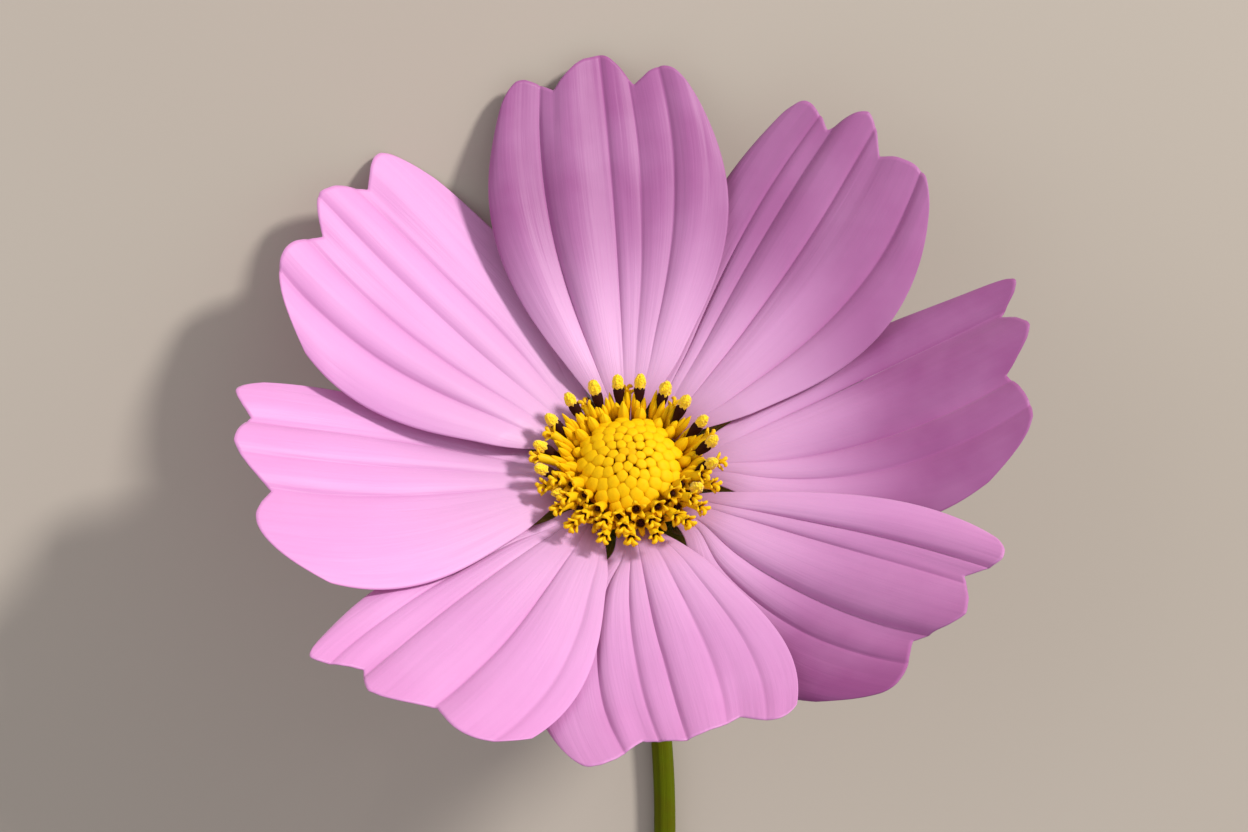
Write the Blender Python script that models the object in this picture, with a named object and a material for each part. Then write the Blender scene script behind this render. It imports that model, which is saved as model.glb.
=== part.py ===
"""A cosmos flower head on its bare stalk, cut and laid down on a surface.

The flower is described in its own head frame, in millimetres: the origin is at the middle of the disc,
level with the brim of its closed buds, +Z runs out of the face of the flower along its axis, and
azimuths turn anticlockwise from +X as seen from the front. The head is then tilted over and rested on
the tips of two petals, and its stalk bends down from the back of the head and lies along the surface.
In the finished part, +Z is up, the surface is Z = 0 and the stalk runs towards -Y.
"""

import math
from typing import NamedTuple

import bpy
import numpy as np
from mathutils import Matrix, Vector

MM = 0.001

# How the head is laid down.
HEAD_TILT = 45.0  # degrees from straight up to the flower's axis
LOW_AZIMUTH = 109.35  # head azimuth that points down at the surface, between the two petals it rests on
HEAD_HEADING = 110.5  # compass direction, from +X towards +Y, in which the head leans

# Petals: what all eight share.
CLAW_RADIUS = 5.35  # where a petal's narrow foot stands, from the flower's axis
LAMINA_FOOT = -2.0  # height of the blade where it leaves the foot
CLAW_DROP = 1.5  # how much further down the foot itself reaches
CLAW_FADE = 1.2  # radial distance over which the foot turns into the blade
BLADE_SPAN = 31.0  # nominal length of a blade
FOOT_SHARE = 0.13  # half width of the foot as a share of the greatest half width
NOTCH_WIDTH = 0.12  # width of the fold that runs in from a notch, as a share of the half width
SIDE_FALL = 2.3  # power by which an outer lobe falls away to the edge
LOBE_ROUNDNESS = 0.7  # share of a lobe's shape that is rounded; the rest is straight-sided
GROOVE_DEPTH = 0.30  # depth of the fold that runs from a notch to the foot
PETAL_THICKNESS = 0.30
PETAL_ROWS = (0.0, 0.04, 0.09, 0.17, 0.27, 0.39, 0.51, 0.63, 0.75, 0.87, 1.0)
PETAL_EDGE_COLUMNS = (-0.9, 0.9)
ROLL_ARM = 3.0  # extra lever that keeps a rolled petal clear of its neighbour near the foot
ROLL_ONSET = 6.0  # how soon along the blade the roll is complete: within one part in this many
PINCH_PLACE = 3.6  # from the foot to where the edges are drawn in most
PINCH_RUN = 2.8  # radial distance over which that fades
FULL_PLACE = 9.5  # from the foot to where an edge is let out most
FULL_RUN = 8.0

# What stands proud leans a little to one side.
PROUD_WAY = (0.0, -0.485, 0.875)  # the way it goes, in the head's frame

# Disc and receptacle.
STALK_TOP_DEPTH = 7.4  # where the stalk ends and the receptacle begins, below the head's origin
RECEPTACLE_PROFILE = ((5.3, -4.2), (5.6, -4.6), (4.0, -5.75), (2.2, -6.6), (1.25, -7.15))  # radius, height
DISC_FLOOR = -3.85  # height at which florets stand, just clear of the receptacle
BUD_DOME_RADIUS = 4.8
BUD_DOME_FOOT_RADIUS = 2.9
BUD_DOME_BRIM = -1.6
BUD_DOME_TOP = 0.9
BUD_DOME_RINGS = 7
BUD_DOME_STEPS = 32
DISC_PROUD = 1.5  # how far the disc stands proud
DISC_NECK = 1.6  # height above its floor at which it is fully so
MERGE = 0.01  # points nearer than this are one point

OPENING_FLORETS = 20
OPENING_FOOT = (4.0, DISC_FLOOR)  # radius and height
OPENING_TIP = (7.85, 0.8)
YOUNG_TIP = (6.75, -0.55)  # where the anther tube has yet to come out
YOUNG_ARC = (200.0, 340.0)  # azimuths of the side on which the florets are still young
OPENING_PROFILE = ((0.0, 0.20), (0.20, 0.26), (0.42, 0.38), (0.62, 0.48), (0.82, 0.52), (1.0, 0.30))

SPENT_PLACES = (90, *range(162, 379, 18))  # azimuths, each in a gap between two opening florets
SPENT_FOOT = (4.75, DISC_FLOOR)
SPENT_BEND = (5.3, -1.35)
SPENT_TIP = (8.2, -0.15)
TUCKED_TIP = (6.8, -0.45)  # of the one that stays tucked in among the opening florets
TUCKED_ARC = (20.0, 160.0)
SPENT_PROFILE = ((0.0, 0.20), (0.25, 0.22), (0.5, 0.28), (0.72, 0.36), (0.88, 0.42), (1.0, 0.25))
FLORET_SIDES = 8

# Bracts: a route of (radius, height) points from foot to tip, and the greatest half width.
OUTER_BRACT_AZIMUTHS = (29, -12, -55, -103, -148, 165, 120, 74)
OUTER_BRACT_ROUTE = ((3.9, -6.5), (5.6, -6.0), (8.0, -4.0), (10.6, -2.3))
OUTER_BRACT_HALF_WIDTH = 1.6
INNER_BRACT_ROUTE = ((5.45, -5.25), (6.6, -3.8), (8.7, -2.7), (12.0, -2.2))
INNER_BRACT_HALF_WIDTH = 2.4
INNER_BRACT_AZIMUTHS = (8, 51, 97, 142, 188, 234, 281, 326)
OUTER_BRACT_CUP = 0.25
INNER_BRACT_CUP = 0.3
BRACT_THICKNESS = 0.30
BRACT_FOOT = 0.16  # a bract's outline is the stretch of a sine arch that starts here,
BRACT_RUN = 0.80  # runs on this far,
BRACT_SKEW = 0.8  # is drawn towards the foot by this power,
BRACT_END = 0.12  # and never gets narrower than this share

# Stalk.
STALK_SIDES = 14
STALK_STEPS = 20  # points along each of its two stretches
NECK_RADIUS = 0.90
CUT_END_RADIUS = 1.15
NECK_REACH = 11.0  # how far the bend follows the flower's axis before it gives way
NECK_LANDING = (10.2, -27.0)  # where the stalk comes down to the surface, from below the head's origin
LANDING_HEADING = -76.0
LANDING_REACH = 10.0
LYING_LENGTH = 62.0
LYING_TURN = -32.0  # degrees that the lying stretch turns through


class Petal(NamedTuple):
    """One ray floret. Lengths in millimetres, angles in degrees, places across from -1 to 1."""

    azimuth: float
    half_width: float
    widest: float  # place along the blade, 0 to 1, where it is widest
    lift: float  # angle of the blade above the plane across the axis
    sag: float  # height of the middle of the blade over the line from foot to tip
    lopsided: float  # share by which one side is broader
    swing: float  # sideways bend of the blade at its tip
    roll: float  # turn about its own length, which raises one edge over a neighbour
    rise: float  # height of its foot over the others
    pinch: tuple  # how much its two edges, at -1 and at 1, are drawn in near the foot
    full: float  # how much the edge at -1 is let out further along
    proud: tuple  # how far its two edges, at -1 and at 1, stand proud
    outline: tuple  # (place across, length) of an edge, then lobe, notch, lobe, notch, lobe and the other edge


PETALS = (
    Petal(
        95, 10.8, 0.77, 20.4, -0.7, -0.04, 0.3, 0.0, 0.25, (-0.4, 0.0), 0.0, (0.0, 0.6),
        ((-1, 31.6), (-0.62, 36.9), (-0.37, 35.6), (-0.08, 38.4), (0.38, 35.2), (0.64, 36.3), (1, 31.6)),
    ),
    Petal(
        53, 10.3, 0.76, 18.5, -1.4, -0.14, 0.6, -3.5, 0.0, (-0.35, -0.6), 0.0, (0.0, 0.0),
        ((-1, 31.8), (-0.58, 37.1), (-0.28, 36.2), (0.03, 39.0), (0.33, 36.2), (0.66, 37.3), (1, 34.0)),
    ),
    Petal(
        8, 9.9, 0.82, 14.6, -1.4, -0.20, 3.8, -0.5, -0.15, (0.3, 0.45), 0.0, (0.0, 0.0),
        ((-1, 31.0), (-0.62, 36.0), (-0.24, 34.5), (0.08, 37.3), (0.38, 35.2), (0.68, 37.0), (1, 29.3)),
    ),
    Petal(
        -39, 10.8, 0.82, 19.0, -1.6, -0.10, 2.4, 3.6, 0.0, (1.5, 0.2), 0.0, (0.0, 0.0),
        ((-1, 29.4), (-0.68, 34.6), (-0.29, 33.0), (0.04, 35.5), (0.43, 32.9), (0.68, 34.9), (1, 31.0)),
    ),
    Petal(
        -88, 11.1, 0.79, 21.0, -1.5, 0.07, 3.4, 5.0, 0.0, (2.0, -0.4), 0.0, (0.0, 0.0),
        ((-1, 31.0), (-0.74, 34.8), (-0.24, 31.8), (0.05, 32.3), (0.57, 29.7), (0.78, 30.4), (1, 28.8)),
    ),
    Petal(
        -129, 10.3, 0.87, 21.0, -1.2, 0.20, 1.2, 5.4, 0.0, (0.9, -0.4), 0.0, (0.0, 0.0),
        ((-1, 32.3), (-0.8, 37.0), (-0.32, 34.5), (-0.1, 36.3), (0.38, 33.3), (0.6, 34.2), (1, 30.2)),
    ),
    Petal(
        188, 10.5, 0.87, 20.5, -1.1, 0.19, -0.4, 5.4, 0.0, (0.2, -0.35), 0.0, (-0.5, 0.0),
        ((-1, 32.8), (-0.76, 35.3), (-0.46, 34.2), (-0.14, 35.9), (0.29, 33.0), (0.55, 34.5), (1, 28.6)),
    ),
    Petal(
        143, 11.0, 0.87, 19.5, -0.9, 0.11, -0.9, 4.8, 0.0, (0.0, -0.5), 1.9, (-0.7, 0.9),
        ((-1, 31.3), (-0.68, 36.1), (-0.38, 34.6), (-0.02, 37.2), (0.24, 34.3), (0.5, 35.7), (1, 28.2)),
    ),
)


# ---------------------------------------------------------------- small tools


def clear_scene():
    """Remove whatever objects the file opened with."""
    for obj in list(bpy.data.objects):
        bpy.data.objects.remove(obj, do_unlink=True)


def make_material(name, color, roughness):
    """A plain Principled material."""
    material = bpy.data.materials.new(name)
    material.use_nodes = True
    shader = material.node_tree.nodes["Principled BSDF"]
    shader.inputs["Base Color"].default_value = (*color, 1.0)
    shader.inputs["Roughness"].default_value = roughness
    shader.inputs["Metallic"].default_value = 0.0
    return material


def add_object(name, data, parent, azimuth=0.0):
    """Link an object under its parent, turned about the parent's Z axis."""
    obj = bpy.data.objects.new(name, data)
    obj.parent = parent
    obj.rotation_euler.z = math.radians(azimuth)
    bpy.context.scene.collection.objects.link(obj)
    return obj


def bezier(controls, t):
    """Points at t on the Bezier curve with these control points, by repeated blending."""
    level = [np.asarray(c, float)[None, :] for c in controls]
    t = np.asarray(t, float)[:, None]
    while len(level) > 1:
        level = [a + (b - a) * t for a, b in zip(level[:-1], level[1:])]
    return level[0]


def in_plane(route):
    """A route of (radius, height) points as points in the XZ plane."""
    return [(radius, 0.0, height) for radius, height in route]


def proud_offset(share, azimuth):
    """Shares of the way that things stand proud, for a shape that will be turned by an azimuth."""
    way = Matrix.Rotation(math.radians(-azimuth), 3, "Z") @ Vector(PROUD_WAY)
    return np.asarray(share)[..., None] * np.array(way)


def evaluated_points(objects):
    """World points, in metres, of these objects with their modifiers and bevels applied."""
    bpy.context.view_layer.update()
    graph = bpy.context.evaluated_depsgraph_get()
    points = []
    for obj in objects:
        shape = obj.evaluated_get(graph)
        points += [obj.matrix_world @ vertex.co for vertex in shape.to_mesh().vertices]
        shape.to_mesh_clear()
    return np.array(points)


# ---------------------------------------------------------------- kinds of shape


def sheet_mesh(name, grid, material):
    """A curved sheet from a grid of points in millimetres."""
    rows, columns = grid.shape[:2]
    number = np.arange(rows * columns).reshape(rows, columns)
    corners = [number[:-1, :-1], number[1:, :-1], number[1:, 1:], number[:-1, 1:]]
    faces = np.stack(corners, axis=-1).reshape(-1, 4)
    mesh = bpy.data.meshes.new(name)
    mesh.from_pydata((grid.reshape(-1, 3) * MM).tolist(), [], faces.tolist())
    mesh.shade_smooth()
    mesh.materials.append(material)
    return mesh


def add_sheet(name, mesh, thickness, parent, azimuth):
    """A sheet given its thickness, half to either side."""
    obj = add_object(name, mesh, parent, azimuth)
    solidify = obj.modifiers.new("Thickness", "SOLIDIFY")
    solidify.thickness = thickness * MM
    solidify.offset = 0.0
    return obj


def tube_curve(name, path, radii, sides, material):
    """A round tube with filled ends along a path in millimetres, with a radius at each point."""
    curve = bpy.data.curves.new(name, "CURVE")
    curve.dimensions = "3D"
    curve.bevel_depth = MM
    curve.bevel_resolution = sides // 2 - 2
    curve.use_fill_caps = True
    spline = curve.splines.new("POLY")
    spline.points.add(len(path) - 1)
    for point, place, radius in zip(spline.points, path, radii):
        point.co = (*(place * MM), 1.0)
        point.radius = radius
    curve.materials.append(material)
    return curve


def add_turned(name, profile, steps, material, parent):
    """A profile of (radius, height), top to bottom and ending on the axis, turned all the way round."""
    mesh = bpy.data.meshes.new(name)
    edges = [(i, i + 1) for i in range(len(profile) - 1)]
    mesh.from_pydata([(radius * MM, 0.0, height * MM) for radius, height in profile], edges, [])
    mesh.materials.append(material)
    obj = add_object(name, mesh, parent)
    screw = obj.modifiers.new("Turn", "SCREW")
    screw.steps = steps
    screw.render_steps = steps
    screw.use_merge_vertices = True
    screw.merge_threshold = MERGE * MM
    screw.use_smooth_shade = True
    return obj


# ---------------------------------------------------------------- the flower's own shapes


def petal_tip(petal, v):
    """Length of a petal at each place across.

    From a notch to the lobe beside it the length climbs as a sine blended with a straight line, so
    notches are sharp and lobes slightly pointed. From the outer lobes it falls to the edges as a power.
    """
    places, lengths = (np.array(values, float) for values in zip(*petal.outline))
    tip = np.interp(v, places, lengths)
    last = len(places) - 2
    for k in range(last + 1):
        t = np.clip((v - places[k]) / (places[k + 1] - places[k]), 0, 1)
        low, high = lengths[k], lengths[k + 1]
        if low > high:
            low, high, t = high, low, 1 - t
        if k in (0, last):
            shape = high - (high - low) * (1 - t) ** SIDE_FALL
        else:
            shape = low + (high - low) * (LOBE_ROUNDNESS * np.sin(math.pi / 2 * t) + (1 - LOBE_ROUNDNESS) * t)
        tip = np.where((v >= places[k]) & (v <= places[k + 1]), shape, tip)
    return tip


def petal_surface(petal, u, v):
    """Mid points of a petal that points along +X, at u from foot to tip and v from edge to edge.

    The half width is a sine of u that peaks at the widest place. The blade is lifted by an angle, sags
    by a parabola, is rolled about its length, bends sideways as the square of u, and drops to its foot
    by an exponential. A soft groove runs in from each notch. The edges are drawn in, or let out, by bell
    curves along the reach, and stand proud in proportion to the distance across.
    """
    groove = 0 * v
    for place, _ in (petal.outline[2], petal.outline[4]):
        groove = groove + GROOVE_DEPTH * np.exp(-(((v - place) / NOTCH_WIDTH) ** 2))
    reach = (petal_tip(petal, v) - CLAW_RADIUS) * u
    s = reach / BLADE_SPAN
    onset = np.clip(ROLL_ONSET * s, 0, 1)
    half = petal.half_width * (FOOT_SHARE + (1 - FOOT_SHARE) * np.sin(math.pi / 2 * u / petal.widest))
    y = v * half * (1 + petal.lopsided * v * onset) + petal.swing * s**2
    lift = math.radians(petal.lift)
    z = LAMINA_FOOT + petal.rise + math.sin(lift) * reach + petal.sag * 4 * s * (1 - s)
    z = z + math.tan(math.radians(petal.roll)) * (y + ROLL_ARM * v) * onset
    z = z - CLAW_DROP * np.exp(-reach / CLAW_FADE) - groove * np.clip(4 * s * (1 - s), 0, 1)
    x = CLAW_RADIUS + math.cos(lift) * reach
    near = np.exp(-(((reach - PINCH_PLACE) / PINCH_RUN) ** 2))
    far = np.exp(-(((reach - FULL_PLACE) / FULL_RUN) ** 2))
    low = np.clip(-v, 0, 1)
    y = y + low * (petal.pinch[0] * near - petal.full * far) - np.clip(v, 0, 1) * petal.pinch[1] * near
    proud = (np.clip(v, 0, 1) * petal.proud[1] + low * petal.proud[0]) * onset
    return np.stack([x, y, z], axis=-1) + proud_offset(proud, petal.azimuth)


def petal_mesh(name, petal, material):
    """One petal's sheet, with a column of points at each lobe and notch, and one between."""
    across = [place for place, _ in petal.outline]
    across += [(a + b) / 2 for a, b in zip(across[1:-2], across[2:-1])]
    u, v = np.meshgrid(PETAL_ROWS, sorted([*across, *PETAL_EDGE_COLUMNS]), indexing="ij")
    return sheet_mesh(name, petal_surface(petal, u, v), material)


def bract_mesh(name, route, half_width, cup, material):
    """A lance-shaped sheet along a smooth route, hollowed towards the flower by cup."""
    u, v = np.meshgrid(np.linspace(0, 1, 8), np.linspace(-1, 1, 5), indexing="ij")
    grid = np.repeat(bezier(in_plane(route), u[:, 0])[:, None, :], u.shape[1], axis=1)
    width = half_width * np.maximum(np.sin(math.pi * (BRACT_FOOT + BRACT_RUN * u**BRACT_SKEW)), BRACT_END)
    grid[:, :, 1] += v * width
    grid[:, :, 2] += cup * v**2 * (1 - u)
    return sheet_mesh(name, grid, material)


def add_floret(name, route, profile, material, parent, azimuth):
    """A disc floret's tube along its route, with radii given by places along it.

    It stands proud in proportion to a ramp of its height over the disc's floor.
    """
    places = [place for place, _ in profile]
    radii = [radius for _, radius in profile]
    path = bezier(in_plane(route), places)
    share = np.clip((path[:, 2] - DISC_FLOOR) / DISC_NECK, 0, 1)
    path = path + proud_offset(DISC_PROUD * share, azimuth)
    add_object(name, tube_curve(name, path, radii, FLORET_SIDES, material), parent, azimuth)


def bud_dome_profile(foot):
    """The packed closed buds: a low dome over a flaring foot at this height, top to bottom."""
    profile = []
    for k in range(BUD_DOME_RINGS + 1):
        out = k / BUD_DOME_RINGS
        profile.append((BUD_DOME_RADIUS * out, BUD_DOME_TOP - (BUD_DOME_TOP - BUD_DOME_BRIM) * out**2))
    return profile + [(BUD_DOME_FOOT_RADIUS, foot), (0.0, foot)]


def stalk_path(head):
    """Mid points and radii, in millimetres, from the head's cushion down to the cut end."""
    axis = np.array(head.matrix_world.to_3x3() @ Vector((0, 0, 1)))
    centre = np.array(head.matrix_world.translation) / MM
    cushion = np.array([centre + axis * height for _, height in RECEPTACLE_PROFILE])
    heading = math.radians(LANDING_HEADING)
    forward = np.array([math.cos(heading), math.sin(heading), 0.0])
    top = centre - STALK_TOP_DEPTH * axis
    landing = np.array([*NECK_LANDING, CUT_END_RADIUS])
    controls = (top, top - NECK_REACH * axis, landing - LANDING_REACH * forward, landing)
    neck = bezier(controls, np.linspace(0, 1, STALK_STEPS))
    turned = heading + math.radians(LYING_TURN) * np.linspace(0, 1, STALK_STEPS)[1:]
    strides = np.stack([np.cos(turned), np.sin(turned), 0 * turned], axis=1) * LYING_LENGTH / len(turned)
    path = np.concatenate([neck, landing + np.cumsum(strides, axis=0)])
    length = np.concatenate([[0], np.cumsum(np.linalg.norm(np.diff(path, axis=0), axis=1))])
    radii = NECK_RADIUS + (CUT_END_RADIUS - NECK_RADIUS) * length / length[-1]
    path[STALK_STEPS:, 2] = radii[STALK_STEPS:]
    radii = np.concatenate([[radius for radius, _ in RECEPTACLE_PROFILE], radii])
    return np.concatenate([cushion, path]), radii


# ---------------------------------------------------------------- the assembly


def add_petals(head):
    """The eight ray florets."""
    pink = make_material("petal_pink", (0.81, 0.40, 0.73), 0.55)
    petals = []
    for number, petal in enumerate(PETALS, 1):
        name = f"petal_{number}"
        petals.append(add_sheet(name, petal_mesh(name, petal, pink), PETAL_THICKNESS, head, petal.azimuth))
    return petals


def add_disc(head):
    """The packed buds and the two rings of disc florets round them."""
    yellow = make_material("disc_yellow", (0.84, 0.50, 0.005), 0.6)
    brown = make_material("anther_brown", (0.03, 0.007, 0.004), 0.5)
    raised = DISC_PROUD * Vector(PROUD_WAY)
    dome = add_turned("disc_buds", bud_dome_profile(DISC_FLOOR - raised.z), BUD_DOME_STEPS, yellow, head)
    dome.location = raised * MM
    for k in range(OPENING_FLORETS):
        azimuth = 360 / OPENING_FLORETS * (k + 0.5)
        tip = YOUNG_TIP if YOUNG_ARC[0] < azimuth < YOUNG_ARC[1] else OPENING_TIP
        name = f"opening_floret_{k + 1:02d}"
        add_floret(name, (OPENING_FOOT, tip), OPENING_PROFILE, brown, head, azimuth)
    for k, azimuth in enumerate(SPENT_PLACES):
        tip = TUCKED_TIP if TUCKED_ARC[0] < azimuth < TUCKED_ARC[1] else SPENT_TIP
        name = f"spent_floret_{k + 1:02d}"
        add_floret(name, (SPENT_FOOT, SPENT_BEND, tip), SPENT_PROFILE, yellow, head, azimuth)


def add_bracts(head):
    """The outer and the inner row of bracts behind the petals."""
    green = make_material("outer_bract_green", (0.34, 0.33, 0.06), 0.6)
    pale = make_material("inner_bract_green", (0.30, 0.30, 0.09), 0.55)
    outer = bract_mesh("outer_bract", OUTER_BRACT_ROUTE, OUTER_BRACT_HALF_WIDTH, OUTER_BRACT_CUP, green)
    inner = bract_mesh("inner_bract", INNER_BRACT_ROUTE, INNER_BRACT_HALF_WIDTH, INNER_BRACT_CUP, pale)
    for k, azimuth in enumerate(OUTER_BRACT_AZIMUTHS, 1):
        add_sheet(f"outer_bract_{k}", outer, BRACT_THICKNESS, head, azimuth)
    for k, azimuth in enumerate(INNER_BRACT_AZIMUTHS, 1):
        add_sheet(f"inner_bract_{k}", inner, BRACT_THICKNESS, head, azimuth)


def add_head(flower):
    """The head, tilted over, at the height where its lowest petal tips meet the surface."""
    head = add_object("head", None, flower)
    turn = Matrix.Rotation(math.radians(HEAD_HEADING), 3, "Z")
    turn = turn @ Matrix.Rotation(math.radians(HEAD_TILT), 3, "Y")
    turn = turn @ Matrix.Rotation(math.radians(-LOW_AZIMUTH), 3, "Z")
    head.rotation_euler = turn.to_euler()
    petals = add_petals(head)
    add_disc(head)
    add_bracts(head)
    head.location.z = -evaluated_points(petals)[:, 2].min()
    bpy.context.view_layer.update()
    return head


def add_stalk(flower, head):
    """The stalk and the cushion it ends in, one grown piece."""
    stem = make_material("stalk_green", (0.05, 0.06, 0.002), 0.5)
    path, radii = stalk_path(head)
    add_object("stalk", tube_curve("stalk", path, radii, STALK_SIDES, stem), flower)


def centre_on_footprint(flower):
    """Slide the flower so that the origin is under the middle of its box."""
    points = evaluated_points([obj for obj in bpy.data.objects if obj.type != "EMPTY"])
    low = points.min(axis=0)
    high = points.max(axis=0)
    flower.location = (-(low[0] + high[0]) / 2, -(low[1] + high[1]) / 2, -low[2])
    bpy.context.view_layer.update()


def main():
    clear_scene()
    flower = add_object("flower", None, None)
    head = add_head(flower)
    add_stalk(flower, head)
    centre_on_footprint(flower)


main()
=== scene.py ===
"""A picked cosmos flower, lying on the tips of two petals and on its bare stalk.

The flower is described in its head frame, in millimetres: the origin is at the middle of the disc, level
with the brim of its closed buds, +Z runs out of the face along the flower's axis, and azimuths turn
anticlockwise from +X as seen from the front. Every piece is worked out there and then carried to its
place over the surface the flower lies on.
"""

import math
from typing import NamedTuple

import bpy
import numpy as np
from bpy.props import FloatProperty, FloatVectorProperty, IntProperty, PointerProperty
from bpy.types import Operator, Panel, PropertyGroup
from mathutils import Matrix, Vector


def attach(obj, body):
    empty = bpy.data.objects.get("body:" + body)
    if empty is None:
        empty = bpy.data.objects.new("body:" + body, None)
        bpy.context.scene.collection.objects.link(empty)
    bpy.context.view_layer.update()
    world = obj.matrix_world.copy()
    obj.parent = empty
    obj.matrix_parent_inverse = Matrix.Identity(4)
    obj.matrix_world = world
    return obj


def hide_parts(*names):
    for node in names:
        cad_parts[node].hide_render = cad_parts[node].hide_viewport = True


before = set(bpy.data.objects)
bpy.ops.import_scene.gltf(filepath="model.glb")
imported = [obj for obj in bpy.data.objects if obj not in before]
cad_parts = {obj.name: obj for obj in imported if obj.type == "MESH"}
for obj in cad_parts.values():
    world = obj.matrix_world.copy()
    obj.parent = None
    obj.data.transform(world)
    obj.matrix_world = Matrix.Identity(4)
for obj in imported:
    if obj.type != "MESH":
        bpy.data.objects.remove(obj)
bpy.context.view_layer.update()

bl_info = {
    "name": "Cosmos flower",
    "version": (1, 0, 0),
    "blender": (4, 5, 0),
    "location": "3D View > Sidebar > Cosmos",
    "description": "Builds a picked cosmos flower with its petals, disc florets, bracts and stalk",
    "category": "Add Mesh",
}

MM = 0.001
TAU = 2 * math.pi
GOLDEN_ANGLE = math.pi * (3 - math.sqrt(5))

# How the head lies. Lengths here and below are in millimetres, angles in degrees.
HEAD_TILT = 45.0  # from upright
LOW_AZIMUTH = 109.35  # the side of the head that lies lowest
HEAD_HEADING = 110.5
DISC_FLOOR = -3.85  # height of the foot of the dome of buds
PROUD_WAY = np.array((0.0, -0.485, 0.875))  # the way that the disc, and some petals' edges, stand proud
DISC_PROUD = 1.5  # how far the disc stands proud
DISC_NECK = 1.6  # height above the dome's foot at which it is fully so

# Petals.
CLAW_RADIUS = 5.35  # where a petal starts
LAMINA_FOOT = -2.0  # height of its blade there
CLAW_DROP = 1.5  # how far its foot drops below that
CLAW_FADE = 1.2  # length over which the drop dies away
BLADE_SPAN = 31.0  # length that sag and swing are given for
FOOT_SHARE = 0.13  # width of the foot over the greatest width
ROLL_ARM = 3.0  # added to the way across that the roll lifts an edge by
ROLL_ONSET = 6.0  # how fast the roll grows along it
PINCH_PLACE = 3.6  # how far along its edges are drawn in
PINCH_RUN = 2.8  # and over what length
FULL_PLACE = 9.5  # how far along an edge is let out
FULL_RUN = 8.0
EDGE_FALL = 2.3  # power of the fall from an outer lobe to the edge
LOBE_SINE = 0.7  # share of a sine in the climb from a notch to a lobe
ARCH_POWER = 0.8  # power of the sine of a pleat's arch
DEEP_PLEAT = 0.5  # height of a pleat whose fold is fully grooved and shaded
GROOVE_DEPTH = 0.10  # of the groove along a fold
GROOVE_WIDTH = 0.022
FOLD_SHADE = 0.03  # way across over which a fold's shade dies away
NOTCH_VALLEY = 0.3  # depth of the valley behind a notch
NOTCH_WIDTH = 0.10
VEIN_RIDGES = 10.5  # ridges between veins from the middle to an edge
CRINKLE_RIDGES = 4.5  # broader ridges, across the same way
CRINKLE_DEPTH = 0.03
WAVE_DEPTH = 0.18  # height of the slow waves

# Stalk.
RECEPTACLE_PROFILE = ((5.1, -4.05), (5.6, -4.5), (5.0, -5.05), (3.9, -5.8), (2.6, -6.45), (1.5, -7.0))
STALK_TOP_DEPTH = 7.4  # how far down the axis it starts
NECK_RADIUS = 0.90
CUT_END_RADIUS = 1.15
NECK_REACH = 11.0  # how strongly the neck keeps to the flower's axis
NECK_LANDING = (10.2, -27.0)  # where it comes down, from the head's centre
LANDING_HEADING = -76.0
LANDING_REACH = 10.0  # how strongly it keeps to that heading
LYING_LENGTH = 62.0
LYING_TURN = -32.0  # how far the lying part turns


class Petal(NamedTuple):
    """One ray floret. Lengths in millimetres, angles in degrees, places across from -1 to 1."""

    azimuth: float
    half_width: float
    widest: float  # share of the length at which it is widest
    lift: float  # angle that its blade rises at
    sag: float  # how far it bows up midway, or down where less than 0
    lopsided: float  # how much wider the half towards 1 is
    swing: float  # how far the tip bends towards 1
    roll: float  # turn about its length
    rise: float  # how much higher than LAMINA_FOOT it starts
    crest: float  # where each pleat is highest on its way across, from 0 to 1
    blush: float  # how deep the painted shade on the outer half is, from 0 to 1
    blush_lean: float  # how much deeper the painted shade is towards the edge at 1
    pinch: tuple  # how much its two edges, at -1 and at 1, are drawn in near the foot
    outline: tuple  # (place across, length) of an edge, then lobe, notch, lobe, notch, lobe and the other edge
    pleats: tuple  # (place across where a pleat starts, its height); each runs to the next, the last to 1
    full: float = 0.0  # how much the edge at -1 is let out further along
    proud: tuple = (0.0, 0.0)  # how far its two edges, at -1 and at 1, stand proud
    fade: float = 0.0  # how much less the edge at 1 does so further out


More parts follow.
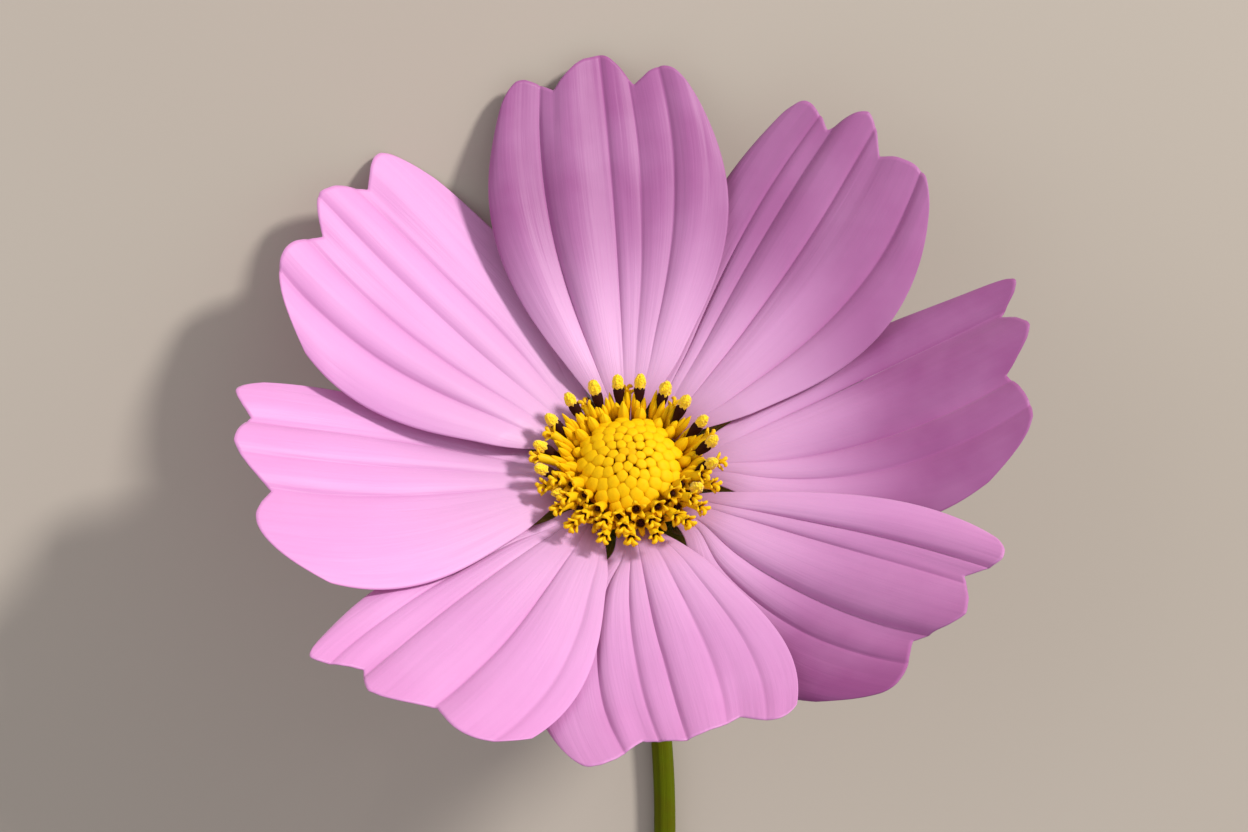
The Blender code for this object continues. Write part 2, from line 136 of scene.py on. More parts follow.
PETALS = (
    Petal(
        95, 10.8, 0.77, 20.4, -0.7, -0.04, 0.3, 0.0, 0.25, 0.62, 0.88, 0.1, (-0.4, 0.0),
        ((-1, 31.6), (-0.62, 36.9), (-0.37, 35.6), (-0.08, 38.4), (0.38, 35.2), (0.64, 36.3), (1, 31.6)),
        ((-1, 0.55), (-0.60, 0.3), (-0.32, 0.25), (-0.08, 1.1), (0.50, 0.8)),
        proud=(0.0, 0.6),
    ),
    Petal(
        53, 10.3, 0.76, 18.5, -1.4, -0.14, 0.6, -3.5, 0.0, 0.6, 0.78, 0.0, (-0.35, -0.6),
        ((-1, 31.8), (-0.58, 37.1), (-0.28, 36.2), (0.03, 39.0), (0.33, 36.2), (0.66, 37.3), (1, 34.0)),
        ((-1, 0.5), (-0.68, 0.7), (-0.10, 0.5), (0.28, 0.25), (0.50, 0.45)),
    ),
    Petal(
        8, 9.9, 0.82, 14.6, -1.4, -0.20, 3.8, -0.5, -0.15, 0.5, 0.95, 0.0, (0.3, 0.45),
        ((-1, 31.0), (-0.62, 36.0), (-0.24, 34.5), (0.08, 37.3), (0.38, 35.2), (0.68, 37.0), (1, 29.3)),
        ((-1, 0.45), (-0.60, 0.35), (-0.30, 0.6), (0.42, 0.5)),
    ),
    Petal(
        -39, 10.8, 0.82, 19.0, -1.6, -0.10, 2.4, 3.6, 0.0, 0.36, 0.65, -0.7, (1.5, 0.2),
        ((-1, 29.4), (-0.68, 34.6), (-0.29, 33.0), (0.04, 35.5), (0.43, 32.9), (0.68, 34.9), (1, 31.0)),
        ((-1, 0.6), (-0.50, 0.4), (-0.20, 0.8), (0.36, 0.3), (0.58, 0.55)),
    ),
    Petal(
        -88, 11.1, 0.79, 21.0, -1.5, 0.07, 3.4, 5.0, 0.0, 0.38, 0.25, 0.0, (2.0, -0.4),
        ((-1, 31.0), (-0.74, 34.8), (-0.24, 31.8), (0.05, 32.3), (0.57, 29.7), (0.78, 30.4), (1, 28.8)),
        ((-1, 0.6), (-0.42, 0.45), (-0.10, 0.3), (0.12, 0.45), (0.46, 0.22), (0.75, 0.16)),
    ),
    Petal(
        -129, 10.3, 0.87, 21.0, -1.2, 0.20, 1.2, 5.4, 0.0, 0.42, 0.1, 0.0, (0.9, -0.4),
        ((-1, 32.3), (-0.8, 37.0), (-0.32, 34.5), (-0.1, 36.3), (0.38, 33.3), (0.6, 34.2), (1, 30.2)),
        ((-1, 0.5), (-0.60, 0.25), (-0.25, 0.5), (0.37, 0.5), (0.85, 0.15)),
    ),
    Petal(
        188, 10.5, 0.87, 20.5, -1.1, 0.19, -0.4, 5.4, 0.0, 0.58, 0.0, 0.0, (0.2, -0.35),
        ((-1, 32.8), (-0.76, 35.3), (-0.46, 34.2), (-0.14, 35.9), (0.29, 33.0), (0.55, 34.5), (1, 28.6)),
        ((-1, 0.3), (-0.40, 0.4), (-0.05, 0.25), (0.26, 0.5)),
        proud=(-0.5, 0.0),
    ),
    Petal(
        143, 11.0, 0.87, 19.5, -0.9, 0.11, -0.9, 4.8, 0.0, 0.6, 0.0, 0.0, (0.0, -0.5),
        ((-1, 31.3), (-0.68, 36.1), (-0.38, 34.6), (-0.02, 37.2), (0.24, 34.3), (0.5, 35.7), (1, 28.2)),
        ((-1, 0.3), (-0.30, 0.4), (0.02, 0.2), (0.35, 0.5), (0.68, 0.55)),
        full=1.9, proud=(-0.7, 0.9), fade=1.0,
    ),
)


# --- numbers and curves


def ease(values, low, high):
    """Smooth step: 0 below low, 1 above high, and 3t^2 - 2t^3 between."""
    t = np.clip((np.asarray(values, float) - low) / (high - low), 0, 1)
    return t * t * (3 - 2 * t)


def bezier(controls, t):
    """Points at t on the Bezier curve with these control points, by repeated blending."""
    level = [np.asarray(c, float)[None, :] for c in controls]
    t = np.asarray(t, float)[:, None]
    while len(level) > 1:
        level = [a + (b - a) * t for a, b in zip(level[:-1], level[1:])]
    return level[0]


def ripple(x, y, seed, octaves=3):
    """Smooth irregular waves between about -1 and 1: a sum of sines with seeded directions and phases."""
    rng = np.random.default_rng(seed)
    total = np.zeros(np.broadcast(x, y).shape)
    for octave in range(octaves):
        for _ in range(3):
            heading, phase = rng.uniform(0, TAU, 2)
            pace = 2.0**octave * rng.uniform(0.8, 1.25)
            total = total + np.sin(pace * (x * math.cos(heading) + y * math.sin(heading)) + phase) / 2**octave
    return total / 4


def unit(vectors):
    """Vectors divided by their own lengths."""
    return vectors / np.linalg.norm(vectors, axis=-1, keepdims=True)


def ring_angles(count):
    """Angles of points spaced evenly round a ring, in radians."""
    return np.arange(count) * TAU / count


def at_azimuth(angle, radius, height):
    """The point at an angle about the flower's axis, in radians, a radius and a height."""
    return np.array([radius * math.cos(angle), radius * math.sin(angle), height])


def spokes_about(axis, near, angles, stretch=1.0):
    """Cosine and sine of the angles times two directions square to an axis, the first also square to near."""
    side = unit(np.cross(axis, near))
    return stretch * np.cos(angles)[..., None] * side + np.sin(angles)[..., None] * np.cross(axis, side)


def turn_about_axis(points, azimuth):
    """Points turned about the flower's axis by an azimuth in degrees."""
    a = math.radians(azimuth)
    turn = np.array([[math.cos(a), -math.sin(a), 0], [math.sin(a), math.cos(a), 0], [0, 0, 1]])
    return points @ turn.T


def spoke_path(route, azimuth, steps):
    """A path in the upright plane at an azimuth, along the Bezier curve of (radius, height) points."""
    points = bezier([(radius, 0.0, height) for radius, height in route], np.linspace(0, 1, steps))
    return turn_about_axis(points, azimuth)


def head_frame():
    """The turn and the centre, in millimetres, that carry the head frame over the surface.

    The CAD dome of buds gives the centre: it stands proud of it, with its foot at a known height.
    """
    turn = Matrix.Rotation(math.radians(HEAD_HEADING), 3, "Z")
    turn = turn @ Matrix.Rotation(math.radians(HEAD_TILT), 3, "Y")
    turn = np.array(turn @ Matrix.Rotation(math.radians(-LOW_AZIMUTH), 3, "Z"))
    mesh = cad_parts["disc_buds"].data
    dome = np.empty(len(mesh.vertices) * 3)
    mesh.vertices.foreach_get("co", dome)
    dome = dome.reshape(-1, 3) / MM
    axis = turn[:, 2]
    middle = dome.mean(axis=0)
    aside = DISC_PROUD * PROUD_WAY * (1, 1, 0)
    return turn, middle + axis * ((dome @ axis).min() - DISC_FLOOR - middle @ axis) - turn @ aside


TURN, CENTRE = head_frame()


def over_surface(points):
    """Head-frame points, in millimetres, as points over the surface, in millimetres."""
    return points @ TURN.T + CENTRE


def over_disc(points):
    """Points of the disc over the surface, moved to stand proud in proportion to a ramp of their height."""
    share = np.clip((points[..., 2:] - DISC_FLOOR) / DISC_NECK, 0, 1)
    return over_surface(points + DISC_PROUD * share * PROUD_WAY)


# --- surfaces


class Surface:
    """Points and faces gathered from several closed shapes, to become one mesh."""

    def __init__(self):
        self.points, self.faces, self.uvs, self.finishes, self.tones = [], [], [], [], []

    def add_points(self, points, tones):
        """Keep points and their tones, and return the number of the first."""
        first = sum(map(len, self.points))
        self.points.append(points.reshape(-1, 3))
        self.tones.append(np.broadcast_to(tones, points.shape[:-1]).reshape(-1))
        return first

    def add_faces(self, faces, uvs, finish):
        """Keep faces of equal size with the UV of each corner."""
        self.faces += faces.reshape(-1, faces.shape[-1]).tolist()
        self.uvs.append(uvs.reshape(-1, 2))
        self.finishes += [finish] * (faces.size // faces.shape[-1])

    def loft(self, rings, finish=0, tones=0.0, uvs=None, cap="fan"):
        """Close a shape from rings of points, each turning anticlockwise about the way they follow.

        A fan cap runs to the middle of its ring. A strip cap joins a flat ring's two long sides.
        uvs has one more column than rings, for the far side of the closing seam.
        """
        rows, columns = rings.shape[:2]
        if uvs is None:
            grid = np.meshgrid(np.linspace(0, 1, rows), np.linspace(0, 1, columns + 1), indexing="ij")
            uvs = np.stack(grid, axis=-1)
        tones = np.broadcast_to(tones, (rows, columns))
        number = self.add_points(rings, tones) + np.arange(rows * columns).reshape(rows, columns)
        number = np.concatenate([number, number[:, :1]], axis=1)
        pick = [(slice(i, rows - 1 + i), slice(j, columns + j)) for i, j in ((0, 0), (0, 1), (1, 1), (1, 0))]
        faces = np.stack([number[p] for p in pick], axis=-1)
        self.add_faces(faces, np.stack([uvs[p] for p in pick], axis=-2), finish)
        for row in (0, rows - 1):
            ring = number[row, :-1]
            if cap == "fan":
                centre = self.add_points(rings[row].mean(axis=0)[None, :], tones[row].mean())
                faces = np.stack([ring, np.roll(ring, -1), np.full_like(ring, centre)], axis=-1)
                flat = np.stack([uvs[row, :-1], uvs[row, 1:], uvs[row, :-1]], axis=-2)
            else:
                a = np.arange(columns // 2 - 1)
                corners = np.stack([a, a + 1, columns - 2 - a, columns - 1 - a], axis=-1)
                faces, flat = ring[corners], uvs[row, corners]
            if row == 0:
                faces, flat = faces[..., ::-1], flat[..., ::-1, :]
            self.add_faces(faces, flat, finish)

    def build(self, name, materials, node_names, slot):
        """Make the object, ride it on the frame's one body and hide the CAD nodes that it stands for."""
        mesh = bpy.data.meshes.new(name)
        mesh.from_pydata((np.concatenate(self.points) * MM).tolist(), [], self.faces)
        layer = mesh.uv_layers.new(name="UVMap")
        layer.data.foreach_set("uv", np.concatenate(self.uvs).astype(np.float32).ravel())
        add_attribute(mesh, "tone", np.concatenate(self.tones))
        for material in materials:
            mesh.materials.append(material)
        mesh.polygons.foreach_set("material_index", np.array(self.finishes, np.int32))
        mesh.shade_smooth()
        mesh.update()
        obj = bpy.data.objects.new(name, mesh)
        bpy.context.scene.collection.objects.link(obj)
        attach(obj, "root")
        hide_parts(*node_names)
        return mesh


def add_attribute(mesh, name, values):
    """Give a mesh a number for each of its points."""
    mesh.attributes.new(name, "FLOAT", "POINT").data.foreach_set("value", values.astype(np.float32).ravel())


def both_faces(values):
    """Values on a sheet's front from its far edge to its near one, then on its back the other way."""
    return np.concatenate([values[:, ::-1], values], axis=1)


def sheet(middle, thickness, tones, u, v):
    """A sheet from its mid points in the head frame, as one closed shape over the surface.

    Its normal is the cross product of its two grid directions, and each face lies half the thickness
    from the middle.
    """
    middle = over_surface(middle)
    half = unit(np.cross(np.gradient(middle, axis=0), np.gradient(middle, axis=1))) * thickness[..., None] / 2
    rings = np.concatenate([(middle + half)[:, ::-1], middle - half], axis=1)
    flat = np.stack([u, (v + 1) / 2], axis=-1)
    surface = Surface()
    surface.loft(rings, 0, both_faces(tones), np.concatenate([both_faces(flat), flat[:, -1:]], axis=1), "strip")
    return surface


def tube_rings(path, radii, angles, zero=(0.0, 1.0, 0.0)):
    """Rings round a path: radius times the cosine and sine of the angle, square to the path.

    radii has a number or a row for each point of the path. The ring's zero direction is near zero at
    the start, and is carried along the path with as little twist as it can have.
    """
    side = np.array(zero, float)
    rings = np.empty((len(path), len(angles), 3))
    radii = np.reshape(radii, (len(path), -1, 1))
    for k, (centre, direction) in enumerate(zip(path, unit(np.gradient(path, axis=0)))):
        side = unit(side - direction * side.dot(direction))
        spokes = np.outer(np.cos(angles), side) + np.outer(np.sin(angles), np.cross(direction, side))
        rings[k] = centre + radii[k] * spokes
    return rings


# --- materials

BRACT_EDGE_COLOUR = (0.11, 0.035, 0.02)
VESSEL_COLOUR = (0.16, 0.20, 0.05)
FLOOR_FLECK_COLOUR = (1.0, 0.98, 0.94)


class Finish:
    """A node material being put together round its Principled shader."""

    def __init__(self, name, roughness):
        self.material = bpy.data.materials.new(name)
        self.material.use_nodes = True
        self.tree = self.material.node_tree
        self.shader = self.tree.nodes["Principled BSDF"]
        self.shader.inputs["Roughness"].default_value = roughness

    def node(self, kind, inputs=None, **settings):
        """Add a node with these settings, and with these values or links on its inputs."""
        node = self.tree.nodes.new("ShaderNode" + kind)
        for key, value in settings.items():
            setattr(node, key, value)
        for key, value in (inputs or {}).items():
            if isinstance(value, bpy.types.NodeSocket):
                self.tree.links.new(value, node.inputs[key])
            else:
                node.inputs[key].default_value = value
        return node

    def math(self, operation, a, b=0.0, clamp=False):
        """The result of one sum on two numbers or sockets."""
        return self.node("Math", {0: a, 1: b}, operation=operation, use_clamp=clamp).outputs[0]

    def times(self, a, b, clamp=False):
        """The product of two numbers or sockets."""
        return self.math("MULTIPLY", a, b, clamp)

    def above(self, socket, floor, gain):
        """How far a socket is above a floor, times a gain, kept from 0 to 1."""
        return self.times(self.math("SUBTRACT", socket, floor, True), gain, True)

    def mix(self, amount, a, b, blend="MIX"):
        """The colour between a and b, at an amount from 0 to 1."""
        a, b = (c if isinstance(c, bpy.types.NodeSocket) else (*c, 1.0) for c in (a, b))
        return self.node("Mix", {0: amount, 6: a, 7: b}, data_type="RGBA", blend_type=blend).outputs[2]

    def ramp(self, amount, stops):
        """A colour ramp through (place, colour) stops."""
        node = self.node("ValToRGB", {0: amount})
        band = node.color_ramp
        for element, (place, colour) in zip(band.elements, (stops[0], stops[-1])):
            element.position, element.color = place, (*colour, 1)
        for place, colour in stops[1:-1]:
            band.elements.new(place).color = (*colour, 1)
        return node.outputs[0]

    def uv(self):
        """The mesh's own UV map."""
        return self.node("UVMap", uv_map="UVMap").outputs[0]

    def tone(self, name="tone"):
        """One of the mesh's own attributes."""
        return self.node("Attribute", attribute_name=name).outputs["Fac"]

    def noise(self, scale, vector=None, detail=3.0, stretch=(1, 1, 1)):
        """Noise on Object coordinates, or on another vector, stretched by a factor for each axis."""
        if vector is None:
            vector = self.node("TexCoord").outputs["Object"]
        vector = self.node("Mapping", {"Vector": vector, "Scale": stretch}).outputs[0]
        return self.node("TexNoise", {"Vector": vector, "Scale": scale, "Detail": detail}).outputs[0]

    def cells(self, scale):
        """Distance to the nearest of the points scattered through Object coordinates."""
        vector = self.node("TexCoord").outputs["Object"]
        return self.node("TexVoronoi", {"Scale": scale, "Vector": vector}).outputs[0]

    def bump(self, height, distance):
        """Bump from a height socket, over a distance in metres."""
        normal = self.node("Bump", {"Height": height, "Distance": distance}).outputs[0]
        self.tree.links.new(normal, self.shader.inputs["Normal"])
        return normal

    def let_light_through(self, share, colour, normal):
        """Mix in a share of light that comes through from behind, in this colour."""
        glow = self.node("BsdfTranslucent", {"Color": colour, "Normal": normal})
        mixed = self.node("MixShader", {0: share, 1: self.shader.outputs[0], 2: glow.outputs[0]})
        self.tree.links.new(mixed.outputs[0], self.tree.nodes["Material Output"].inputs["Surface"])

    def done(self, colour, **values):
        """The material, with this base colour and with fixed values, underscores for spaces in their names."""
        self.tree.links.new(colour, self.shader.inputs["Base Color"])
        for key, value in values.items():
            self.shader.inputs[key.replace("_", " ")].default_value = value
        return self.material


def petal_finish(settings):
    """Petal skin: pale at the foot, deeper outwards, with fine streaks along it, painted shade along its folds and
    painted shade on its outer half.

    The streaks are noise on the UV map, stretched along the petal. The tone attribute is the fold's: it darkens the
    folds towards the vein colour, painted shade that is partly the veins' own deeper colour. The blush attribute
    says how deep the painted shade on the outer half is.
    """
    finish = Finish("petal_skin", 0.48)
    vein_and_fold_shade = settings.vein_and_fold_shade_colour
    uv = finish.uv()
    along = finish.node("SeparateXYZ", {0: uv}).outputs[0]
    colours = (settings.foot_colour, settings.low_colour, settings.blade_colour, settings.tip_colour)
    body = finish.ramp(along, list(zip((0.0, 0.22, 0.6, 1.0), colours)))
    fine = finish.noise(1.0, uv, 4.0, (4.0, 80.0, 1.0))
    broad = finish.noise(1.0, uv, 2.0, (2.5, 34.0, 1.0))
    streak = finish.above(fine, 0.42, 1.5)
    # painted shade: the outer half darkened towards deep magenta where the petal turns away from the light
    colour = finish.mix(finish.tone("blush"), body, settings.blush_colour)
    colour = finish.mix(finish.times(streak, 0.07), colour, vein_and_fold_shade)
    colour = finish.mix(finish.times(finish.above(broad, 0.45, 1.6), 0.11), colour, vein_and_fold_shade)
    # painted shade along the folds, partly the veins' own deeper colour
    colour = finish.mix(finish.times(finish.tone(), 0.40), colour, vein_and_fold_shade)
    # darker towards the foot, more so along the streaks
    foot = finish.times(finish.math("SUBTRACT", 1.0, finish.times(along, 7.0), True), 0.30)
    darker_foot = finish.times(foot, finish.math("ADD", finish.times(streak, 1.6), 0.35), True)
    colour = finish.mix(darker_foot, colour, vein_and_fold_shade)
    colour = finish.mix(finish.above(finish.noise(120.0), 0.4, 0.5), colour, settings.pale_colour)
    relief = finish.math("ADD", finish.times(fine, 0.6), finish.times(broad, 0.4))
    glow = finish.mix(0.5, colour, settings.glow_colour, "MULTIPLY")
    finish.let_light_through(settings.glow_share, glow, finish.bump(relief, 0.00005))
    return finish.done(colour, Sheen_Weight=0.25, Sheen_Roughness=0.4, Specular_IOR_Level=0.35)


def bud_finish(settings):
    """Closed buds: waxy yellow, darker orange low down between them, painted shade that is partly their own deeper
    colour, and paler on the crowns.
    """
    finish = Finish("bud_skin", 0.6)
    # painted shade: darker orange low down between the buds, partly their own colour
    stops = ((0.0, settings.gap_shade_colour), (0.45, settings.bud_colour), (1.0, settings.crown_colour))
    colour = finish.ramp(finish.tone(), stops)
    colour = finish.mix(finish.times(finish.noise(900.0), 0.3), colour, settings.bud_colour)
    finish.bump(finish.noise(2600.0), 0.00003)
    return finish.done(colour, Specular_IOR_Level=0.08)


def corolla_finish(settings):
    """Floret tubes and lobes: thin yellow that glows, with painted shade that makes them darker and browner towards
    the foot and inside the mouth.
    """
    finish = Finish("corolla_skin", 0.45)
    # painted shade: darker and browner low in the tube and inside the mouth
    stops = ((0.0, settings.gap_shade_colour), (0.35, settings.tube_colour), (1.0, settings.lobe_colour))
    colour = finish.ramp(finish.tone(), stops)
    colour = finish.mix(finish.times(finish.noise(1500.0, None, 2.0), 0.35), colour, settings.tube_colour)
    finish.let_light_through(0.25, colour, finish.bump(finish.noise(3000.0), 0.00003))
    return finish.done(colour, Specular_IOR_Level=0.15)


def anther_finish(settings):
    """Anther tubes: near-black brown, dull, with reddish mottling."""
    finish = Finish("anther_skin", 0.6)
    colour = finish.mix(finish.noise(1400.0), settings.anther_colour, settings.anther_edge_colour)
    finish.bump(finish.noise(2400.0), 0.00004)
    return finish.done(colour, Specular_IOR_Level=0.05)


def pollen_finish(settings):
    """Pollen: bright, dry and grainy."""
    finish = Finish("pollen_grain", 0.8)
    cells = finish.cells(5200.0)
    stops = ((0.0, settings.pollen_colour), (0.6, settings.lobe_colour), (1.0, settings.tube_colour))
    finish.bump(finish.math("SUBTRACT", 1.0, cells), 0.00012)
    return finish.done(finish.ramp(cells, stops), Sheen_Weight=0.3, Specular_IOR_Level=0.2)


def leaf_finish(name, deep, light, rib_count, share):
    """Bract skin: green with paler parallel ribs along it and a reddish bloom at the edges.

    The ribs are half of one more than the sine of the way across. A share of light comes through.
    """
    finish = Finish(name, 0.45)
    across = finish.node("SeparateXYZ", {0: finish.uv()}).outputs[1]
    ribs = finish.math("SINE", finish.times(across, rib_count * TAU))
    ribs = finish.times(finish.math("ADD", ribs, 1.0), 0.5)
    colour = finish.mix(finish.times(ribs, 0.45), deep, light)
    colour = finish.mix(finish.times(finish.tone(), 0.8), colour, BRACT_EDGE_COLOUR)
    colour = finish.mix(finish.times(finish.noise(500.0), 0.4), colour, deep)
    finish.let_light_through(share, colour, finish.bump(ribs, 0.00006))
    return finish.done(colour, Specular_IOR_Level=0.15)


def stalk_finish(settings):
    """Stalk skin: olive green with fine pale lines along it, and freckles of dull red."""
    finish = Finish("stalk_skin", 0.4)
    lines = finish.noise(1.0, finish.uv(), 3.0, (6.0, 60.0, 1.0))
    colour = finish.mix(finish.times(lines, 0.8), settings.stalk_colour, settings.stalk_light_colour)
    colour = finish.mix(finish.above(finish.noise(260.0), 0.5, 1.6), colour, settings.stalk_red_colour)
    finish.bump(finish.math("ADD", lines, finish.times(finish.noise(2500.0), 0.3)), 0.00008)
    return finish.done(colour, Specular_IOR_Level=0.04)


def pith_finish(settings):
    """The stalk's cut end: pale wet pith with darker dots of cut vessels."""
    finish = Finish("cut_pith", 0.35)
    cells = finish.cells(3500.0)
    finish.bump(cells, 0.00008)
    return finish.done(finish.ramp(cells, ((0.0, VESSEL_COLOUR), (0.5, settings.pith_colour))))


def floor_finish(settings):
    """The floor: plain, pale and matt."""
    finish = Finish("floor_paper", 0.85)
    colour = finish.mix(finish.times(finish.noise(6.0), 0.12), settings.floor_colour, FLOOR_FLECK_COLOUR)
    return finish.done(colour, Specular_IOR_Level=0.15)


# --- petals


def petal_tip(petal, v):
    """Length of a petal at each place across.

    From a notch to the lobe beside it the length climbs as a sine blended with a straight line, so
    notches are sharp and lobes slightly pointed. From the outer lobes it falls to the edges as a power.
    """
    places, lengths = (np.array(values, float) for values in zip(*petal.outline))
    tip = np.interp(v, places, lengths)
    for k in range(len(places) - 1):
        inside = (v >= places[k]) & (v <= places[k + 1])
        t = (v - places[k]) / (places[k + 1] - places[k])
        rising = lengths[k + 1] > lengths[k]
        low, high, t = (lengths[k], lengths[k + 1], t) if rising else (lengths[k + 1], lengths[k], 1 - t)
        if k in (0, len(places) - 2):
            shape = high - (high - low) * np.abs(1 - t) ** EDGE_FALL
        else:
            shape = low + (high - low) * (LOBE_SINE * np.sin(math.pi / 2 * t) + (1 - LOBE_SINE) * t)
        tip = np.where(inside, shape, tip)
    return tip


def petal_pleats(petal, v):
    """Height of the pleats, and how near the bottom of a fold each place is, which sets the painted shade along the
    folds.

    Between one fold and the next the height is an arch of a sine to a power, its crest moved to one
    side by raising the way across to a power. A narrow groove, a bell curve, runs along each fold.
    """
    ends = [place for place, _ in petal.pleats[1:]] + [1.0]
    height = np.zeros_like(v)
    fold = np.zeros_like(v)
    power = math.log(0.5) / math.log(petal.crest)
    for (start, tall), end in zip(petal.pleats, ends):
        t = np.clip((v - start) / (end - start), 0, 1) ** power
        height = height + np.where((v >= start) & (v < end), tall * np.sin(math.pi * t) ** ARCH_POWER, 0)
        if start > -1:
            depth = min(tall / DEEP_PLEAT, 1)
            height = height - GROOVE_DEPTH * depth * np.exp(-(((v - start) / GROOVE_WIDTH) ** 2))
            fold = fold + np.exp(-np.abs(v - start) / FOLD_SHADE) * depth
    return height, np.clip(fold, 0, 1)


def petal_middle(petal, u, v, settings, seed):
    """Mid points of a petal, how near each is to the bottom of a fold, for the painted shade there, and how deep
    the painted shade on its outer half is.

    The half width is a sine of u that peaks at the widest place, with the edges drawn in and let out by
    bell curves. The blade is lifted by an angle, sags by a parabola, is rolled about its length, bends
    sideways as the square of u, and drops to its foot by an exponential. Pleats, notch valleys, fine
    ridges between veins and slow waves are added to it, and its edges stand proud in proportion to v.
    """
    tip = petal_tip(petal, v) + 0.10 * ripple(v * 18, 0 * v, seed)
    reach = (tip - CLAW_RADIUS) * u
    s = reach / BLADE_SPAN
    onset = np.clip(ROLL_ONSET * s, 0, 1)
    half = petal.half_width * (FOOT_SHARE + (1 - FOOT_SHARE) * np.sin(math.pi / 2 * u / petal.widest))
    y = v * half * (1 + petal.lopsided * v * onset) + petal.swing * s**2
    lift = math.radians(petal.lift)
    z = LAMINA_FOOT + petal.rise + math.sin(lift) * reach + petal.sag * 4 * s * (1 - s)
    z = z + math.tan(math.radians(petal.roll)) * (y + ROLL_ARM * v) * onset
    z = z - CLAW_DROP * np.exp(-reach / CLAW_FADE)
    x = CLAW_RADIUS + math.cos(lift) * reach
    near = np.exp(-(((reach - PINCH_PLACE) / PINCH_RUN) ** 2))
    far = np.exp(-(((reach - FULL_PLACE) / FULL_RUN) ** 2))
    low, high = np.clip(-v, 0, 1), np.clip(v, 0, 1)
    y = y + low * (petal.pinch[0] * near - petal.full * far) - high * petal.pinch[1] * near

    inside = 1 - ease(np.abs(v), 0.88, 1.0)
    run = ease(u, 0.0, 0.45) * (1 - 0.25 * ease(u, 0.85, 1.0))
    place = v + 0.015 * ripple(u * 5 + 2, v * 2, seed + 5)
    arches, fold = petal_pleats(petal, place)
    notches = sum(np.exp(-(((v - petal.outline[k][0]) / NOTCH_WIDTH) ** 2)) for k in (2, 4)) * ease(u, 0.5, 1.0)
    veins = np.abs(np.sin(VEIN_RIDGES * math.pi * (v + 0.03 * ripple(u * 4, v * 3, seed + 7))))
    wave = ripple(u * 6 + 3, v * 4, seed + 11) * ease(u, 0.35, 1.0)
    crinkle = np.abs(np.sin(CRINKLE_RIDGES * math.pi * (place + 0.05 * ripple(u * 3, v * 3, seed + 9))))
    z = z + settings.pleat_depth * run * (arches + CRINKLE_DEPTH * crinkle - 0.25) - NOTCH_VALLEY * notches
    z = z + inside * (settings.vein_depth * veins * ease(u, 0.02, 0.3) + WAVE_DEPTH * wave)
    points = turn_about_axis(np.stack([x, y, z], axis=-1), petal.azimuth)
    high = high * (1 - petal.fade * ease(u, 0.35, 0.80))
    proud = (low * petal.proud[0] + high * petal.proud[1]) * onset
    points = points + proud[..., None] * PROUD_WAY
    # painted shade on the outer half, deeper towards one edge
    blush = petal.blush * (1 + petal.blush_lean * v) * ease(u + 0.10 * ripple(u * 3, v * 3, seed + 3), 0.2, 0.7)
    return points, fold * run * inside, blush


def colour_property(name, description, default):
    """A colour that a user may change."""
    return FloatVectorProperty(name=name, description=description, subtype="COLOR", size=3, default=default)


class PetalSettings(PropertyGroup):
    """Sizes and colours of the petals."""

    thickness: FloatProperty(name="Thickness", description="Thickness of the blade, in millimetres", default=0.2)
    pleat_depth: FloatProperty(name="Pleat depth", description="How strongly the blade is pleated", default=1.0)
    vein_depth: FloatProperty(
        name="Vein depth", description="Height of the ridges between veins, in millimetres", default=0.014
    )
    foot_colour: colour_property("Foot", "Colour at the disc", (0.765, 0.465, 0.70))
    low_colour: colour_property("Low", "Colour of the lower blade", (0.765, 0.415, 0.68))
    blade_colour: colour_property("Blade", "Colour of the middle of the blade", (0.81, 0.385, 0.72))
    tip_colour: colour_property("Tip", "Colour at the lobes", (0.80, 0.35, 0.69))
    # vein colour, also used for the painted shade along the folds
    vein_and_fold_shade_colour: colour_property("Vein", "Colour of veins and folds", (0.55, 0.14, 0.42))
    # colour of the painted shade on the outer halves of the petals
    blush_colour: colour_property("Blush", "Colour of the deepest outer parts", (0.34, 0.078, 0.26))
    pale_colour: colour_property("Pale", "Colour of the pale clouds", (0.86, 0.49, 0.80))
    glow_colour: colour_property("Glow", "Tint of light that comes through", (1.0, 0.45, 0.86))
    glow_share: FloatProperty(
        name="Glow share", description="Share of light let through", subtype="FACTOR", min=0, max=1, default=0.24
    )


class COSMOS_OT_petals(Operator):
    """Make the eight petals"""

    bl_idname = "cosmos.petals"
    bl_label = "Petals"

    def execute(self, context):
        settings = context.scene.cosmos_petals
        skin = petal_finish(settings)
        u, v = np.meshgrid(np.linspace(0, 1, 100) ** 1.1, np.linspace(-1, 1, 161), indexing="ij")
        # The blade thins to its edges by the sixth power of v, and to its tip by the eighth of u.
        thickness = settings.thickness * (1 - 0.6 * np.abs(v) ** 6) * (1 - 0.5 * u**8)
        for number, petal in enumerate(PETALS, 1):
            middle, fold, blush = petal_middle(petal, u, v, settings, 40 + number)
            # fold becomes the tone attribute, for the painted shade along the folds
            surface = sheet(middle, thickness, fold, u, v)
            mesh = surface.build(f"ray_petal_{number}", [skin], [f"petal_{number}"], "petal")
            # the painted shade on the outer half, kept as an attribute
            add_attribute(mesh, "blush", both_faces(blush))
        return {"FINISHED"}


# --- disc


